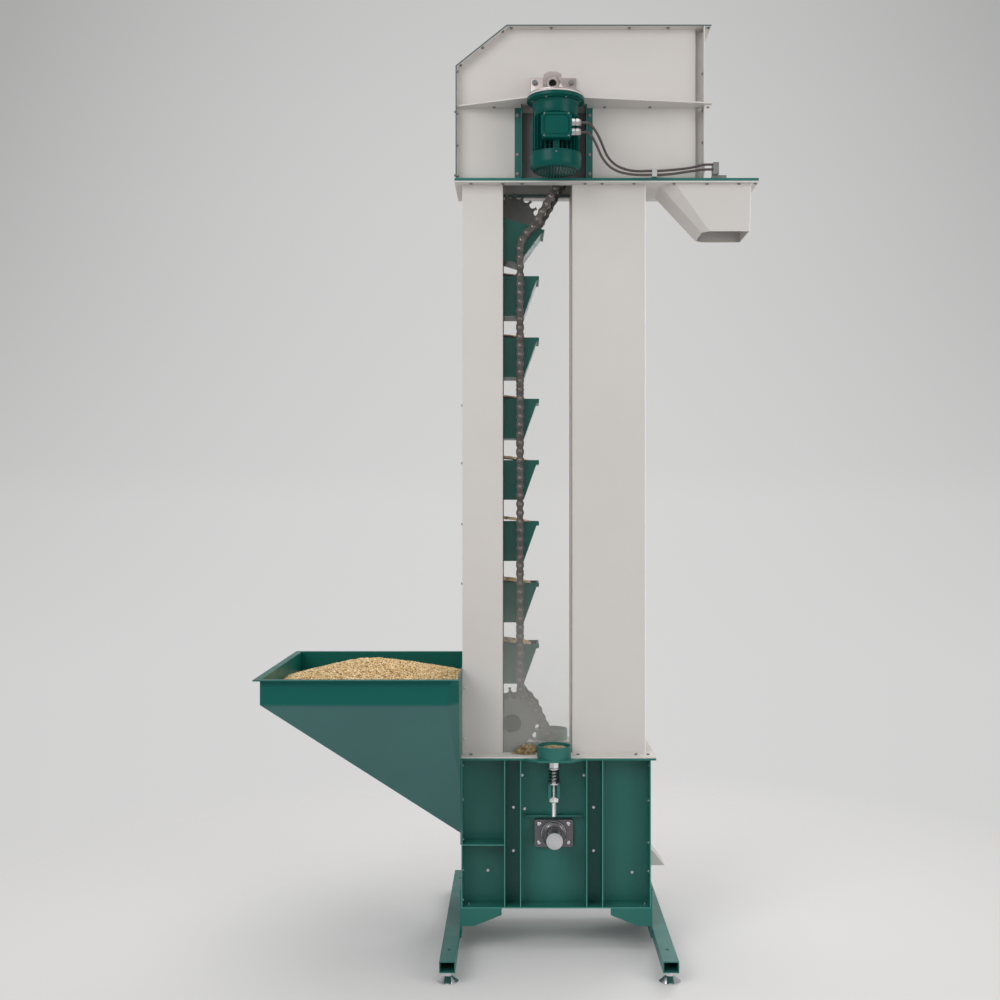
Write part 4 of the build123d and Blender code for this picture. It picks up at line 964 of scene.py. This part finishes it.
def grain_bed(name, spots, height, rng, cells=None, reach=None, kernel=mat_kernel):
    """Loose kernels at (x, y) spots on a surface height(x, y), over its own skin."""
    shape_verts, shape_faces = kernel_shape()
    verts, faces = [], []
    for x, y in spots:
        length, width = rng.uniform(3.2, 4.2), rng.uniform(1.5, 2.0)
        turn = Matrix.Rotation(rng.uniform(0, math.pi), 3, "Z") @ Matrix.Rotation(
            rng.uniform(-0.35, 0.35), 3, "Y")
        centre = Vector((x, y, height(x, y) + rng.uniform(0.2, 1.5)))
        first = len(verts)
        verts += [centre + turn @ Vector((v.x * length, v.y * width, v.z * width)) for v in shape_verts]
        faces += [[first + k for k in face] for face in shape_faces]
    kernels = len(faces)
    if cells:
        xs, ys = cells
        first, wide = len(verts), len(xs)
        skin = [(x, y * reach(x) if reach else y) for y in ys for x in xs]
        verts += [Vector((x, y, height(x, y))) for x, y in skin]
        corners = [first + j * wide + i for j in range(len(ys) - 1) for i in range(wide - 1)]
        faces += [[k, k + 1, k + wide + 1, k + wide] for k in corners]
    mesh = bpy.data.meshes.new(name)
    mesh.from_pydata([tuple(TO_ROW @ v) for v in verts], [], faces)
    mesh.materials.append(kernel)
    mesh.materials.append(mat_grain)
    mesh.polygons.foreach_set("material_index", [int(i >= kernels) for i in range(len(mesh.polygons))])
    add_piece(name, mesh)


def hopper_grain(rng):
    """Heap in the hopper, highest in its middle, with its edge inside the walls' facets."""
    crown_x, crown_z, crown_round, lowest_z = -544.0, 819.0, 16.0, 728.0
    left_slope, right_slope, side_slope = 0.28, 0.21, 0.24
    half_y, facet_x = 307.5, -318.0

    def level(x, y):
        away = x - crown_x
        slope = left_slope if away < 0 else right_slope
        fall = math.hypot(away * slope, y * side_slope)
        ripple = 1.5 * math.sin(x * 0.11 + y * 0.05) * math.sin(y * 0.09 - x * 0.03)
        return max(lowest_z, crown_z - math.hypot(fall, crown_round) + ripple)

    def reach(x):
        return half_y - max(0.0, x - facet_x)

    spots = [(rng.uniform(-795, -275), rng.uniform(-1, 1)) for _ in range(7800)]
    spots = [(x, y * (reach(x) - 3)) for x, y in spots]
    grain_bed("hopper_grain", spots, level, rng, (steps(-798, -272, 60), steps(-1, 1, 60)), reach)


def bucket_grain(rng, index):
    """Load of one bucket, crowned over its rim."""
    rim_z = FIRST_BUCKET_Z + index * LINKS_PER_BUCKET * CHAIN_PITCH
    crown_x, crown_rise, fall_x, fall_y = -178.0, 13.0, 0.00125, 0.002

    def level(x, y):
        return rim_z + crown_rise - fall_x * (x - crown_x) ** 2 - fall_y * y * y

    spots = [(rng.uniform(-232, -75), rng.uniform(-50, 50)) for _ in range(420)]
    grain_bed(f"bucket_grain_{index + 1}", spots, level, rng, (steps(-231, -70, 16), steps(-51, 51, 8)))


def collar_grain(rng):
    """Grain in the front collar, crowned just under its rim."""
    bore_r, skin_half, crown_z, fall = 42, 31, 571.0, 0.004

    def level(x, y):
        return crown_z - fall * ((x - COLLAR_X) ** 2 + (y - COLLAR_Y) ** 2)

    spots = []
    while len(spots) < 460:
        x, y = rng.uniform(-43, 43), rng.uniform(-43, 43)
        if math.hypot(x, y) < bore_r:
            spots.append((x + COLLAR_X, y + COLLAR_Y))
    cells = [steps(middle - skin_half, middle + skin_half, 6) for middle in (COLLAR_X, COLLAR_Y)]
    grain_bed("collar_grain", spots, level, rng, cells, kernel=mat_spilled)


def spilled_grain(rng):
    """Small heap on the base flange, beside the collar and outside the pane."""
    heap_x, heap_y, heap_height, half_x, half_y = -80.0, -83.0, 19.0, 38.0, 26.0

    def level(x, y):
        ripple = 1.0 + 0.3 * math.sin(x * 0.4) * math.sin(y * 0.5 + 1)
        heap = heap_height * (1 - ((x - heap_x) / half_x) ** 2) * (1 - ((y - heap_y) / half_y) ** 2)
        return BASE_FLANGE_Z + 1 + max(0.0, heap) * ripple

    spots = [(rng.gauss(-82, 18), WALL_Y - SHEET - abs(rng.gauss(0, 11))) for _ in range(1000)]
    spots = [(x, y) for x, y in spots if -126 < x < -57 and y > -118]
    grain_bed("spilled_grain", spots, level, rng, kernel=mat_spilled)


def grain():
    """All the grain, from one seeded run of random numbers."""
    rng = random.Random(7)
    hopper_grain(rng)
    for index in range(FULL_BUCKETS):
        bucket_grain(rng, index)
    collar_grain(rng)
    spilled_grain(rng)


for make in (trunk_bolts, boot_bolts, hood_nuts, shelf_and_bracket_bolts, boot_edges, hood_edge,
             window_seal_and_shade, white_edge_highlights, chains, take_up, motor_body, motor_gap_shade, motor_screws,
             terminal_housing, fan_cowl, gearbox, gear_bolts, glands, grain):
    make()


# Camera, lights and surroundings
def studio_camera():
    """The photograph's own frame."""
    data = bpy.data.cameras.new("camera")
    data.lens = 44.3
    data.sensor_width = 36.0
    data.shift_x = -0.019
    data.shift_y = 0.004
    data.clip_end = 200.0
    camera = bpy.data.objects.new("camera", data)
    camera.location = (0.015, -3.6215, 1.26)
    camera.rotation_euler = (math.radians(90), 0.0, 0.0)
    bpy.context.scene.collection.objects.link(camera)
    bpy.context.scene.camera = camera


def area_light(name, place, target, size, energy):
    """Soft rectangular lamp that looks at its target."""
    data = bpy.data.lights.new(name, "AREA")
    data.shape = "RECTANGLE"
    data.size, data.size_y = size
    data.energy = energy
    lamp = bpy.data.objects.new(name, data)
    lamp.location = place
    lamp.rotation_euler = (Vector(target) - Vector(place)).to_track_quat("-Z", "Y").to_euler()
    bpy.context.scene.collection.objects.link(lamp)


def studio_world():
    """Even light on the object, and the backdrop's own grey for what the camera sees."""
    ambient_strength = 0.52
    side_fall, fall_with_height, least_fall, darkest = 0.85, 4.4, 0.3, 0.7
    greys = [(0.0, 0.838), (0.03, 0.826), (0.12, 0.82), (0.23, 0.812), (0.30, 0.80), (0.38, 0.778),
             (1.0, 0.74)]
    world = bpy.data.worlds.new("studio")
    bpy.context.scene.world = world
    world.use_nodes = True
    nodes, links = world.node_tree.nodes, world.node_tree.links
    nodes.clear()

    def math_node(operation, first, second):
        node = nodes.new("ShaderNodeMath")
        node.operation = operation
        for socket, value in zip(node.inputs, (first, second)):
            feed(world.node_tree, socket, value)
        return node.outputs[0]

    output = nodes.new("ShaderNodeOutputWorld")
    rays = nodes.new("ShaderNodeLightPath").outputs
    seen = math_node("MAXIMUM", rays["Is Camera Ray"], rays["Is Transmission Ray"])
    seen = math_node("MAXIMUM", seen, rays["Is Glossy Ray"])

    split = nodes.new("ShaderNodeSeparateXYZ")
    links.new(nodes.new("ShaderNodeTexCoord").outputs["Generated"], split.inputs[0])
    ramp = nodes.new("ShaderNodeValToRGB")
    while len(ramp.color_ramp.elements) < len(greys):
        ramp.color_ramp.elements.new(0.5)
    for element, (position, grey) in zip(ramp.color_ramp.elements, greys):
        element.position = position
        element.color = linear((grey + 0.003, grey, grey - 0.001))
    links.new(split.outputs["Z"], ramp.inputs[0])

    side = math_node("MULTIPLY", split.outputs["X"], split.outputs["X"])
    reach = math_node("ADD", math_node("MULTIPLY", split.outputs["Z"], fall_with_height), side_fall)
    fall = math_node("MULTIPLY", side, math_node("MAXIMUM", reach, least_fall))
    backdrop = nodes.new("ShaderNodeBackground")
    links.new(ramp.outputs[0], backdrop.inputs[0])
    links.new(math_node("MAXIMUM", math_node("SUBTRACT", 1.0, fall), darkest), backdrop.inputs[1])
    ambient = nodes.new("ShaderNodeBackground")
    ambient.inputs[0].default_value = (1.0, 0.99, 0.98, 1.0)
    ambient.inputs[1].default_value = ambient_strength
    mix = nodes.new("ShaderNodeMixShader")
    links.new(seen, mix.inputs[0])
    links.new(ambient.outputs[0], mix.inputs[1])
    links.new(backdrop.outputs[0], mix.inputs[2])
    links.new(mix.outputs[0], output.inputs[0])


def studio_floor():
    """Pale floor that fades into the backdrop."""
    fade_start, fade_end = 0.9, 2.3
    bm = bmesh.new()
    bmesh.ops.create_circle(bm, cap_ends=True, radius=60.0, segments=96)
    mesh = bpy.data.meshes.new("studio_floor")
    bm.to_mesh(mesh)
    bm.free()
    floor = bpy.data.objects.new("studio_floor", mesh)
    bpy.context.scene.collection.objects.link(floor)
    s = Shader("studio_floor")
    s.set(colour=linear(FLOOR_GREY), rough=0.9, specular=0.05)
    length = s.add("ShaderNodeVectorMath", operation="LENGTH")
    s.link(s.place, length.inputs[0])
    clear = s.add("ShaderNodeBsdfTransparent")
    mix = s.add("ShaderNodeMixShader")
    s.link(s.span(length.outputs["Value"], (fade_start, fade_end), (0.0, 1.0)), mix.inputs[0])
    s.link(s.base.outputs[0], mix.inputs[1])
    s.link(clear.outputs[0], mix.inputs[2])
    s.link(mix.outputs[0], s.output.inputs["Surface"])
    mesh.materials.append(s.material)


studio_camera()
area_light("key", place=(-2.6, -3.6, 3.6), target=(0.0, 0.0, 1.3), size=(2.8, 2.8), energy=80.0)
area_light("fill", place=(3.4, -3.0, 1.8), target=(0.0, 0.0, 1.2), size=(2.4, 3.0), energy=50.0)
area_light("top", place=(0.0, 0.4, 5.2), target=(0.0, 0.0, 0.0), size=(4.0, 3.5), energy=68.0)
area_light("rim", place=(1.8, 3.2, 2.8), target=(0.0, 0.0, 1.4), size=(2.0, 2.5), energy=44.0)
studio_world()
studio_floor()

bpy.context.scene.view_settings.view_transform = "Standard"
